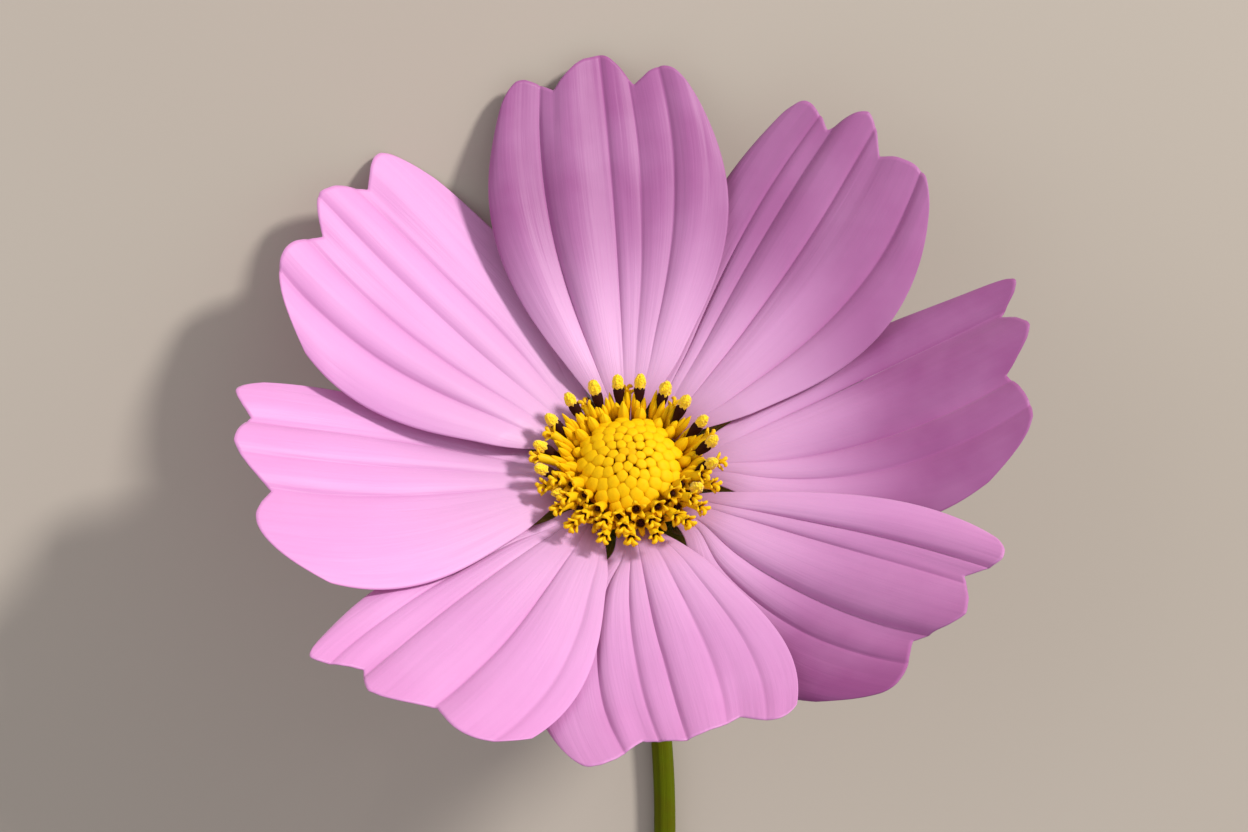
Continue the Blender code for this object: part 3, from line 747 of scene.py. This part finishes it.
class DiscSettings(PropertyGroup):
    """Sizes and colours of the disc's buds and florets."""

    bud_count: IntProperty(name="Buds", description="Closed buds in the spiral", default=76)
    bud_zone: FloatProperty(name="Bud zone", description="Radius of the closed buds, in millimetres", default=4.5)
    bud_spread: FloatProperty(name="Bud spread", description="Power that spaces buds wider outwards", default=0.56)
    pointed_count: IntProperty(name="Pointed buds", description="Pointed buds in each of their rings", default=20)
    bud_colour: colour_property("Bud", "Colour of closed buds", (0.72, 0.385, 0.0012))
    crown_colour: colour_property("Crown", "Colour on top of the buds", (0.84, 0.50, 0.0016))
    # painted shade deep between the buds, on the dome and low in the floret tubes, partly the buds' own deeper
    # orange
    gap_shade_colour: colour_property("Gap", "Colour deep between buds", (0.34, 0.10, 0.002))
    tube_colour: colour_property("Tube", "Colour of floret tubes", (0.90, 0.49, 0.003))
    lobe_colour: colour_property("Lobe", "Colour of floret lobes", (0.96, 0.64, 0.006))
    pollen_colour: colour_property("Pollen", "Colour of pollen", (0.99, 0.64, 0.012))
    anther_colour: colour_property("Anther", "Colour of the anther tubes", (0.012, 0.0025, 0.002))
    anther_edge_colour: colour_property("Anther mottling", "Reddish mottling", (0.045, 0.010, 0.006))


DOME_TOP = 0.75  # height of the dome of buds in the middle
DOME_FALL = 1.95  # how far it falls to its brim
DOME_RADIUS = 4.4  # radius of its brim
DOME_PROFILE = (  # radius and height, from its foot to its top
    (2.9, DISC_FLOOR), (3.9, -2.9), (4.7, -2.2), (4.7, -1.75), (3.6, -0.9), (2.4, -0.3), (1.3, 0.15), (0.4, 0.35)
)
# Tones of a bud from its foot to its tip, low where painted shade darkens it between the buds, and two shapes of it
# as radius and height over its size.
BUD_SHADE_TONES = (0.0, 0.0, 0.08, 0.38, 0.72, 0.95, 1.0, 0.85)
BLUNT_CROWN = (
    (0.80, -1.0), (1.0, -0.35), (1.03, 0.05), (1.0, 0.26), (0.90, 0.43), (0.70, 0.55), (0.40, 0.62), (0.10, 0.64)
)
POINTED_CROWN = (
    (0.75, -1.2), (0.90, -0.40), (1.0, 0.10), (0.96, 0.45), (0.80, 0.80), (0.55, 1.08), (0.28, 1.32), (0.06, 1.50)
)

POINTED_LIMIT = -0.45  # sine of the lowest azimuth at which there are pointed buds
POINTED_ROWS = (  # of each ring: share of a step it is turned by, radius, height, lean, size and tallness
    (0.25, 4.75, -1.5, 0.75, 0.50, 0.80),
    (0.5, 5.10, -1.7, 0.80, 0.36, 0.70),
    (0.0, 5.90, -1.45, 0.85, 0.30, 1.05),
    (0.2, 5.65, -1.50, 0.80, 0.30, 0.95),
    (0.8, 5.75, -1.55, 0.90, 0.30, 1.00),
    (0.5, 5.60, -1.25, 0.82, 0.34, 0.85),
)

# Florets.
LOBE_STEPS = ((0.3, 0), (0.6, 0), (0.85, 0), (1.0, 0), (0.95, 1), (0.6, 1), (0.2, 1))  # share, 1 where inside
# painted shade inside the mouth, from its rim down
MOUTH_SHADE_TONES = (1.0, 0.7, 0.35, 0.1, 0.0)
FLORET_FOOT = DISC_FLOOR + 0.1
OPENING_COUNT = 20
OPENING_FOOT = 4.1  # radius that opening florets stand at
OPENING_REACH = 7.25  # radius that their anther tubes end at
SPENT_REACH = 6.7  # radius and height of the older florets' mouths, round the top of the disc
SPENT_HEIGHT = -0.85
OPENING_TUBE = (0.2, 0.22, 0.25, 0.29, 0.33, 0.37, 0.40, 0.43, 0.46)  # radii of a corolla, from foot to mouth
ANTHER_SWELL = (0.10, 0.12, 0.14, 0.17, 0.21, 0.26, 0.32, 0.38, 0.44, 0.48, 0.50, 0.42)  # and of an anther tube
SPENT_TUBE = (0.18, 0.19, 0.21, 0.24, 0.27, 0.30, 0.34, 0.38, 0.41, 0.43)
STYLE_ARM = (0.12, 0.13, 0.15, 0.17, 0.19, 0.20, 0.18, 0.10)
ANTHER_RIBS = 5


def dome_height(radius):
    """Height of the dome of buds at a radius: a parabola from the middle down to the brim."""
    return DOME_TOP - DOME_FALL * (radius / DOME_RADIUS) ** 2


def bud_rings(centre, out, size, tall, profile, crease):
    """A bud: a profile of (radius, height) swept round, with six soft corners.

    out is the way its crown points. The corners are a cosine of six turns. Five creases between its
    folded lobes deepen towards the top.
    """
    radius, height = np.array(profile).T[:, :, None]
    angles = ring_angles(20)[None, :]
    level = ease(np.arange(len(profile)), 3, 7)[:, None]
    radius = size * radius * (1 + 0.05 * np.cos(6 * angles) * (1 - level) + crease * np.cos(5 * angles) * level)
    spokes = spokes_about(out, (-out[1], out[0], 0.01), angles, 1.12)
    return centre + radius[..., None] * spokes + tall * height[..., None] * out


class COSMOS_OT_buds(Operator):
    """Make the closed buds, the pointed buds round them and the dome they stand on"""

    bl_idname = "cosmos.buds"
    bl_label = "Closed buds"

    def execute(self, context):
        settings = context.scene.cosmos_disc
        rng = np.random.default_rng(5)
        surface = Surface()
        dome = np.array([[at_azimuth(angle, *level) for angle in ring_angles(48)] for level in DOME_PROFILE])
        # the dome under the buds takes nearly the gap shade colour: painted shade, partly its own darker colour
        surface.loft(over_disc(dome), 0, 0.05)
        crown = np.array(BUD_SHADE_TONES)[:, None]
        # A spiral: the angle grows by the golden angle, and the radius as a power of the bud's number.
        for k in range(settings.bud_count):
            share = (k + 0.3) / settings.bud_count
            radius = settings.bud_zone * share**settings.bud_spread
            angle = k * GOLDEN_ANGLE + 0.4
            size = 0.44 + 0.24 * ease(share, 0.0, 0.7)
            out = unit(at_azimuth(angle, 0.9 * radius / DOME_RADIUS + 0.05 * rng.normal(), 1.0))
            middle = at_azimuth(angle, radius, dome_height(radius) + 0.03 * rng.normal())
            rings = bud_rings(middle - out * 0.20 * size, out, size, size, BLUNT_CROWN, 0.0)
            surface.loft(over_disc(rings), 0, crown * (0.45 + 0.55 * ease(radius, 0.2, 1.2)))
        for turned, radius, height, lean, size, tall in POINTED_ROWS:
            for k in range(settings.pointed_count):
                angle = TAU * (k + turned) / settings.pointed_count + 0.03 * rng.normal()
                if math.sin(angle) < POINTED_LIMIT:
                    continue
                reach = radius + 0.12 * rng.normal()
                out = unit(at_azimuth(angle, lean + 0.08 * rng.normal(), 1.0))
                middle = at_azimuth(angle, reach, height + 0.1 * rng.normal())
                rings = bud_rings(middle, out, size, tall + 0.18 * rng.normal(), POINTED_CROWN, 0.3)
                surface.loft(over_disc(rings), 0, 0.35 + 0.65 * crown)
        surface.build("closed_buds", [bud_finish(settings)], ["disc_buds"], "disc")
        return {"FINISHED"}


def corolla_rings(path, radii, lobes, flare, cup, azimuth):
    """A floret's tube, its five lobes and the inside of its mouth, as one closed shape.

    The outer wall follows the path with these radii and runs on into five pointed lobes, which are a
    sharpened cosine round the mouth, with a gap on the side away from the azimuth. They reach out by
    lobes and spread by flare. The inner wall then goes back down by cup.
    """
    angles = ring_angles(30)
    outer = tube_rings(path, radii, angles, -at_azimuth(math.radians(azimuth), 1.0, 0.0))
    tangent = unit(path[-1] - path[-2])
    centre = path[-1]
    mouth = radii[-1]
    spokes = (outer[-1] - centre) / mouth
    bump = (0.5 - 0.5 * np.cos(5 * angles))[:, None] ** 0.8
    rows = []
    for share, inner in LOBE_STEPS:
        rise = lobes * bump * (share - 0.35 * share**3) + 0.06 * inner
        spread = (mouth - 0.08 * inner) * (1 + flare * share**2 * bump)
        rows.append(centre + spokes * spread + tangent * rise)
    rows += [centre + spokes * mouth * width - tangent * cup * depth for width, depth in ((0.75, 0.5), (0.4, 1.0))]
    return np.concatenate([outer, np.stack(rows)])


def corolla_tones(rows, low):
    """Tones that rise along the tube from low to bright lobes, and fall again inside the mouth: painted shade low
    in the tube and in the mouth.
    """
    tones = np.clip(np.linspace(low, 1.6, rows - len(MOUTH_SHADE_TONES)), 0, 1)
    return np.concatenate([tones, MOUTH_SHADE_TONES])[:, None]


def pollen_ball(centre, direction, width, tall, seed):
    """A pollen head: an egg shape, drawn to a blunt point at the top and roughened by seeded waves."""
    polar = np.linspace(0.06, math.pi - 0.06, 16)[:, None]
    angles = ring_angles(24)[None, :]
    rough = 1 + 0.12 * ripple(angles * 5 + 0 * polar, polar * 6 + 0 * angles, seed, 2)
    rough = rough + 0.10 * np.cos(8 * angles + 3 * polar) * np.cos(7 * polar + seed) * np.sin(polar)
    rough = rough + 0.12 * np.cos(6 * angles + seed) * np.sin(polar)
    taper = 1 - 0.25 * ease(polar, 1.3, 3.1)
    radius = (width * np.sin(polar) ** 0.75 * rough * taper)[..., None]
    height = (-tall * np.cos(polar) * (1 + 0.6 * (rough - 1)))[..., None]
    return centre + radius * spokes_about(direction, (0.0, 1.0, 0.1), angles) + height * direction


class SpentRow(NamedTuple):
    """One ring of older florets. Lengths in millimetres, angles in degrees."""

    azimuths: tuple
    inward: float  # how far inside the outermost ring its mouths are
    raised: float  # how far above it
    jitter: float
    girth: float
    flare: float  # how far its lobes spread
    arms: tuple  # the side of each style arm


SPENT_ROWS = (
    SpentRow((54, 90, 126, *range(162, 379, 18)), 0.0, 0.0, 0.12, 1.0, 0.9, (-1, 1)),
    SpentRow(tuple(range(198, 343, 18)), 1.1, 0.4, 0.2, 1.08, 0.8, (-1, 1)),
    SpentRow(tuple(range(207, 334, 18)), 2.4, 0.2, 0.2, 1.2, 0.75, ()),
)


def floret_stage(azimuth):
    """How far out a floret's anther tube has come: 1 round the top and the sides, 0 at the bottom."""
    return float(ease(math.sin(math.radians(azimuth)), -0.62, -0.18))


class COSMOS_OT_opening_florets(Operator):
    """Make the ring of opening florets: yellow tube, dark anther tube and pollen head"""

    bl_idname = "cosmos.opening_florets"
    bl_label = "Opening florets"

    def execute(self, context):
        settings = context.scene.cosmos_disc
        skins = [corolla_finish(settings), anther_finish(settings), pollen_finish(settings)]
        rng = np.random.default_rng(11)
        angles = ring_angles(20)
        # An anther tube's radius is its own at each height, with ribs that are a cosine round it.
        swell = np.outer(ANTHER_SWELL, 1 + 0.05 * np.cos(ANTHER_RIBS * angles))
        for k in range(OPENING_COUNT):
            azimuth = 360 / OPENING_COUNT * (k + 0.5) + rng.normal() * 1.5
            out = floret_stage(azimuth)
            sideways = math.cos(math.radians(azimuth))
            foot = np.array([OPENING_FOOT, FLORET_FOOT])
            reach = OPENING_REACH - 0.25 * sideways + 0.1 * rng.normal()
            way = np.array([reach, 0.05 + 0.3 * sideways + 0.12 * rng.normal()]) - foot
            throat = foot + (0.46 + 0.16 * (1 - out)) * way
            surface = Surface()
            tube = spoke_path((foot, foot + 0.28 * way, throat), azimuth, len(OPENING_TUBE))
            radii = np.array(OPENING_TUBE) * (1.1 - 0.1 * out)
            rings = corolla_rings(tube, radii, 0.75 + 0.75 * out, 0.45 + 0.8 * (1 - out), 0.5, azimuth)
            surface.loft(over_disc(rings), 0, corolla_tones(len(rings), -0.2))
            end = foot + (0.66 + 0.34 * out) * way
            stem = spoke_path((foot + 0.42 * way, foot + 0.6 * way, end), azimuth, len(ANTHER_SWELL))
            surface.loft(over_disc(tube_rings(stem, swell * (0.6 + 0.4 * out), angles)), 1)
            if out > 0.3:
                direction = unit(stem[-1] - stem[-2])
                size = 0.92 + 0.1 * rng.random()
                ball = pollen_ball(stem[-1] + direction * 0.38, direction, 0.53 * size, 0.80 * size, 100 + k)
                surface.loft(over_disc(ball), 2)
            number = f"{k + 1:02d}"
            surface.build(f"opening_floret_look_{number}", skins, [f"opening_floret_{number}"], "anther")
        return {"FINISHED"}


def add_spent_floret(surface, number, azimuth, rng):
    """An older floret of a ring, by its number: its corolla, a dark plug in the mouth and its style arms.

    Its tube and its arms are Bezier curves. It reaches further and higher round the bottom of the disc.
    """
    row = SPENT_ROWS[number]
    angles = ring_angles(8)
    low = ease(0.5 - 0.5 * math.sin(math.radians(azimuth)), 0.1, 0.6)
    far = SPENT_REACH + 1.15 * low - row.inward + row.jitter * rng.normal()
    high = SPENT_HEIGHT + 0.4 * low + row.raised + row.jitter * rng.normal()
    route = ((4.75 - 0.4 * number, FLORET_FOOT), (5.3 - 0.5 * number, -1.45 + 0.2 * number), (far, high))
    tube = spoke_path(route, azimuth, len(SPENT_TUBE))
    lobes = 0.68 + 0.1 * rng.normal()
    turned = azimuth + rng.uniform(-36, 36)
    flare = row.flare + 0.15 * rng.normal()
    rings = corolla_rings(tube, np.array(SPENT_TUBE) * row.girth, lobes, flare, 0.6, turned)
    surface.loft(over_disc(rings), 0, corolla_tones(len(rings), -0.3))
    direction = unit(tube[-1] - tube[-2])
    plug = np.stack([tube[-1] + direction * step for step in (-0.4, -0.15, 0.1)])
    surface.loft(over_disc(tube_rings(plug, (0.2, 0.28, 0.16), angles)), 1)
    around = at_azimuth(math.radians(azimuth + 90), 1.0, 0.0)
    for side in row.arms:
        start = tube[-1] + direction * 0.05
        bend = start + direction * 0.62 + around * side * 0.15
        end = bend + direction * 0.1 + around * side * 0.38 + np.array([0, 0, -0.2 - 0.15 * rng.random()])
        arm = bezier((start, bend, bend + direction * 0.2, end), np.linspace(0, 1, len(STYLE_ARM)))
        surface.loft(over_disc(tube_rings(arm, STYLE_ARM, angles)), 0, 1.0)


class COSMOS_OT_spent_florets(Operator):
    """Make the outer rings of older florets, with spreading lobes and short curled style arms"""

    bl_idname = "cosmos.spent_florets"
    bl_label = "Older florets"

    def execute(self, context):
        settings = context.scene.cosmos_disc
        rng = np.random.default_rng(23)
        surface = Surface()
        for number, row in enumerate(SPENT_ROWS):
            for azimuth in row.azimuths:
                add_spent_floret(surface, number, azimuth + rng.normal() * 2.0, rng)
        skins = [corolla_finish(settings), anther_finish(settings)]
        names = [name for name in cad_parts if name.startswith("spent_floret")]
        surface.build("spent_florets_look", skins, names, "spent_corolla")
        return {"FINISHED"}


# --- bracts and stalk


class GreenSettings(PropertyGroup):
    """Colours of the bracts and the stalk."""

    bract_colour: colour_property("Outer bract", "Colour of the outer bracts", (0.38, 0.36, 0.07))
    bract_light_colour: colour_property("Outer rib", "Colour of their ribs", (0.46, 0.44, 0.12))
    inner_colour: colour_property("Inner bract", "Colour of the inner bracts", (0.30, 0.30, 0.09))
    inner_light_colour: colour_property("Inner rib", "Colour of their ribs", (0.50, 0.46, 0.20))
    stalk_colour: colour_property("Stalk", "Colour of the stalk", (0.072, 0.088, 0.001))
    stalk_light_colour: colour_property("Stalk lines", "Colour of its fine lines", (0.115, 0.14, 0.002))
    stalk_red_colour: colour_property("Stalk blush", "Colour of its blush", (0.10, 0.042, 0.004))
    pith_colour: colour_property("Pith", "Colour of the cut end", (0.50, 0.52, 0.28))


class BractRing(NamedTuple):
    """One ring of bracts. Lengths in millimetres, angles in degrees."""

    name: str
    azimuths: tuple
    route: tuple  # (radius, height) points that its middle line bends along
    half_width: float
    cup: float  # how deeply it is hollowed
    thickness: float
    thinning: float  # how much thinner its edges are
    seed: int


BRACT_RINGS = (
    BractRing(
        "outer", (29, -12, -55, -103, -148, 165, 120, 74), ((3.9, -6.5), (5.6, -6.0), (8.0, -4.0), (10.6, -2.3)),
        1.6, 0.25, 0.28, 0.12, 60,
    ),
    BractRing(
        "inner", (8, 51, 97, 142, 188, 234, 281, 326), ((5.45, -5.25), (6.6, -3.8), (8.7, -2.7), (12.0, -2.2)),
        2.4, 0.3, 0.22, 0.10, 80,
    ),
)


def bract_middle(ring, azimuth, u, v, seed):
    """Mid points of a lance-shaped bract.

    The outline is a stretch of a sine arch drawn towards the foot. The blade is hollowed by a
    parabola across it, keeled along its middle, and waves a little at its edges.
    """
    centre = bezier([(radius, 0.0, height) for radius, height in ring.route], u[:, 0])
    width = ring.half_width * np.maximum(np.sin(math.pi * (0.16 + 0.835 * u**0.8)), 0.02)
    points = np.repeat(centre[:, None, :], u.shape[1], axis=1)
    points[:, :, 1] += v * width + 0.12 * ripple(u * 4, 0 * v, seed) * u
    points[:, :, 2] += ring.cup * v**2 * (1 - u) - 0.10 * np.exp(-np.abs(v) / 0.12) * (1 - u)
    points[:, :, 2] += 0.05 * ripple(u * 9, v * 3, seed + 1)
    return turn_about_axis(points, azimuth)


class COSMOS_OT_bracts(Operator):
    """Make the outer and the inner bracts"""

    bl_idname = "cosmos.bracts"
    bl_label = "Bracts"

    def execute(self, context):
        settings = context.scene.cosmos_greens
        outer_skin = leaf_finish("outer_bract_skin", settings.bract_colour, settings.bract_light_colour, 5, 0.25)
        inner_skin = leaf_finish("inner_bract_skin", settings.inner_colour, settings.inner_light_colour, 11, 0.3)
        u, v = np.meshgrid(np.linspace(0, 1, 40), np.linspace(-1, 1, 17), indexing="ij")
        edge = ease(np.abs(v), 0.85, 1.0) * 0.5
        for ring, skin in zip(BRACT_RINGS, (outer_skin, inner_skin)):
            thickness = ring.thickness - ring.thinning * np.abs(v) ** 3  # thinner to the edges, as a cube
            for k, azimuth in enumerate(ring.azimuths):
                surface = sheet(bract_middle(ring, azimuth, u, v, ring.seed + k), thickness, edge, u, v)
                kind = f"{ring.name}_bract"
                surface.build(f"{kind}_look_{k + 1}", [skin], [f"{kind}_{k + 1}"], kind)
        return {"FINISHED"}


def stalk_path(steps):
    """Mid points and radii of the stalk over the surface, in millimetres, from the neck to the cut end.

    The neck is a Bezier curve from under the receptacle to where the stalk comes down. The rest is an
    even arc along the surface, held up by its own radius, which grows evenly along the whole stalk.
    """
    axis = TURN[:, 2]
    heading = math.radians(LANDING_HEADING)
    forward = np.array([math.cos(heading), math.sin(heading), 0.0])
    top = CENTRE - STALK_TOP_DEPTH * axis
    landing = np.array([CENTRE[0] + NECK_LANDING[0], CENTRE[1] + NECK_LANDING[1], CUT_END_RADIUS])
    controls = (top, top - NECK_REACH * axis, landing - LANDING_REACH * forward, landing)
    neck = bezier(controls, np.linspace(0, 1, steps))
    turned = heading + math.radians(LYING_TURN) * np.linspace(0, 1, steps)[1:]
    strides = np.stack([np.cos(turned), np.sin(turned), 0 * turned], axis=1) * LYING_LENGTH / len(turned)
    path = np.concatenate([neck, landing + np.cumsum(strides, axis=0)])
    length = np.concatenate([[0], np.cumsum(np.linalg.norm(np.diff(path, axis=0), axis=1))])
    radii = NECK_RADIUS + (CUT_END_RADIUS - NECK_RADIUS) * length / length[-1]
    path[steps:, 2] = radii[steps:]
    return path, radii


class COSMOS_OT_stalk(Operator):
    """Make the stalk, the receptacle it widens into and its cut end"""

    bl_idname = "cosmos.stalk"
    bl_label = "Stalk"

    def execute(self, context):
        settings = context.scene.cosmos_greens
        path, radii = stalk_path(90)
        cushion = np.array([CENTRE + TURN[:, 2] * height for _, height in RECEPTACLE_PROFILE])
        girth = np.concatenate([[radius for radius, _ in RECEPTACLE_PROFILE], radii])
        angles = ring_angles(40)
        # Its ribs are cosines of eight and seventeen turns round it, with slow ripples along it.
        ribs = 1 + 0.035 * np.cos(8 * angles) + 0.015 * np.cos(17 * angles + 1)
        lengthwise = np.arange(len(girth))[:, None]
        girth = girth[:, None] * (ribs + 0.012 * ripple(lengthwise * 0.22, angles[None, :] * 2, 3))
        surface = Surface()
        surface.loft(tube_rings(np.concatenate([cushion, path]), girth, angles), 0)
        end = unit(path[-1] - path[-2])
        disc = np.stack([path[-1] + end * step for step in (-0.1, 0.06, 0.03)])
        surface.loft(tube_rings(disc, (0.98, 0.98, 0.3), angles), 1)
        surface.build("flower_stalk", [stalk_finish(settings), pith_finish(settings)], ["stalk"], "stalk")
        return {"FINISHED"}


# --- stage


class StageSettings(PropertyGroup):
    """The floor, the lights and the camera."""

    floor_colour: colour_property("Floor", "Colour of the floor", (0.40, 0.345, 0.285))
    key_power: FloatProperty(name="Key", description="Power of the key light", unit="POWER", default=9.0)
    fill_power: FloatProperty(name="Fill", description="Power of the fill light", unit="POWER", default=1.2)
    sky_strength: FloatProperty(name="Sky", description="Strength of the light all round", default=0.58)
    lens: FloatProperty(name="Lens", description="Focal length of the camera", unit="CAMERA", default=100.0)


VIEW_TILT = math.radians(29)  # angle between the flower's axis and the camera, in the head's YZ plane
VIEW_DISTANCE = 305.6  # from the head to the camera
VIEW_SHIFT = (-0.44, 3.61)  # how far the camera stands right and up of the head
SENSOR_WIDTH = 36.0
FLOOR_REACH = 2.5  # in metres
SKY_COLOUR = (0.95, 0.95, 1.0, 1.0)
LIGHTS = (  # of each: name, its share of right, up and back, distance and width in metres, and colour
    ("key", (0.70, 0.50, 0.51), 0.9, 0.15, (1.0, 0.98, 0.95)),
    ("fill", (-0.6, 0.2, 0.75), 0.8, 0.6, (0.92, 0.96, 1.0)),
)


def camera_axes():
    """The camera's right, up and backward directions over the surface."""
    right = TURN @ np.array([1.0, 0.0, 0.0])
    up = TURN @ np.array([0.0, math.cos(VIEW_TILT), math.sin(VIEW_TILT)])
    return right, up, np.cross(right, up)


def add_area_light(name, direction, distance, size, colour, power):
    """A round light at a distance from the flower, facing it."""
    light = bpy.data.lights.new(name, "AREA")
    light.shape = "DISK"
    light.size = size
    light.energy = power
    light.color = colour
    obj = bpy.data.objects.new(name, light)
    direction = Vector(direction).normalized()
    obj.location = Vector(CENTRE * MM) + direction * distance
    obj.rotation_euler = direction.to_track_quat("Z", "Y").to_euler()
    bpy.context.scene.collection.objects.link(obj)


class COSMOS_OT_stage(Operator):
    """Make the floor, the lights and the camera"""

    bl_idname = "cosmos.stage"
    bl_label = "Stage"

    def execute(self, context):
        settings = context.scene.cosmos_stage
        scene = context.scene
        mesh = bpy.data.meshes.new("floor")
        corners = ((-1, -1), (1, -1), (1, 1), (-1, 1))
        mesh.from_pydata([(x * FLOOR_REACH, y * FLOOR_REACH, 0) for x, y in corners], [], [(0, 1, 2, 3)])
        mesh.materials.append(floor_finish(settings))
        floor = bpy.data.objects.new("floor", mesh)
        scene.collection.objects.link(floor)

        right, up, back = axes = camera_axes()
        camera = bpy.data.cameras.new("camera")
        camera.lens = settings.lens
        camera.sensor_width = SENSOR_WIDTH
        camera.clip_start = 0.01
        place = CENTRE + back * VIEW_DISTANCE + right * VIEW_SHIFT[0] + up * VIEW_SHIFT[1]
        obj = bpy.data.objects.new("camera", camera)
        obj.matrix_world = Matrix([(*(right[i], up[i], back[i]), place[i] * MM) for i in range(3)] + [(0, 0, 0, 1)])
        scene.collection.objects.link(obj)
        scene.camera = obj

        for (name, way, *rest), power in zip(LIGHTS, (settings.key_power, settings.fill_power)):
            add_area_light(name, np.array(way) @ np.stack(axes), *rest, power)
        world = bpy.data.worlds.new("studio")
        world.use_nodes = True
        sky = world.node_tree.nodes["Background"]
        sky.inputs[0].default_value = SKY_COLOUR
        sky.inputs[1].default_value = settings.sky_strength
        scene.world = world
        scene.view_settings.view_transform = "Standard"
        return {"FINISHED"}


# --- the add-on


class COSMOS_PT_panel(Panel):
    """The flower's pieces in the sidebar"""

    bl_idname = "COSMOS_PT_panel"
    bl_label = "Cosmos flower"
    bl_space_type = "VIEW_3D"
    bl_region_type = "UI"
    bl_category = "Cosmos"

    def draw(self, context):
        for group, _ in GROUPS:
            settings = getattr(context.scene, group)
            box = self.layout.box()
            for name in settings.__annotations__:
                box.prop(settings, name)
        for operator in OPERATORS:
            self.layout.operator(operator.bl_idname)


OPERATORS = (
    COSMOS_OT_stage,
    COSMOS_OT_petals,
    COSMOS_OT_buds,
    COSMOS_OT_opening_florets,
    COSMOS_OT_spent_florets,
    COSMOS_OT_bracts,
    COSMOS_OT_stalk,
)
GROUPS = (
    ("cosmos_petals", PetalSettings),
    ("cosmos_disc", DiscSettings),
    ("cosmos_greens", GreenSettings),
    ("cosmos_stage", StageSettings),
)


def register():
    """Register the settings, the operators and the panel."""
    for name, group in GROUPS:
        bpy.utils.register_class(group)
        setattr(bpy.types.Scene, name, PointerProperty(type=group))
    for item in (*OPERATORS, COSMOS_PT_panel):
        bpy.utils.register_class(item)


def unregister():
    """Take everything back out."""
    for item in reversed((*OPERATORS, COSMOS_PT_panel)):
        bpy.utils.unregister_class(item)
    for name, group in reversed(GROUPS):
        delattr(bpy.types.Scene, name)
        bpy.utils.unregister_class(group)


def main():
    """Build every piece in order."""
    register()
    for operator in OPERATORS:
        group, name = operator.bl_idname.split(".")
        getattr(getattr(bpy.ops, group), name)()


if __name__ == "__main__":
    main()
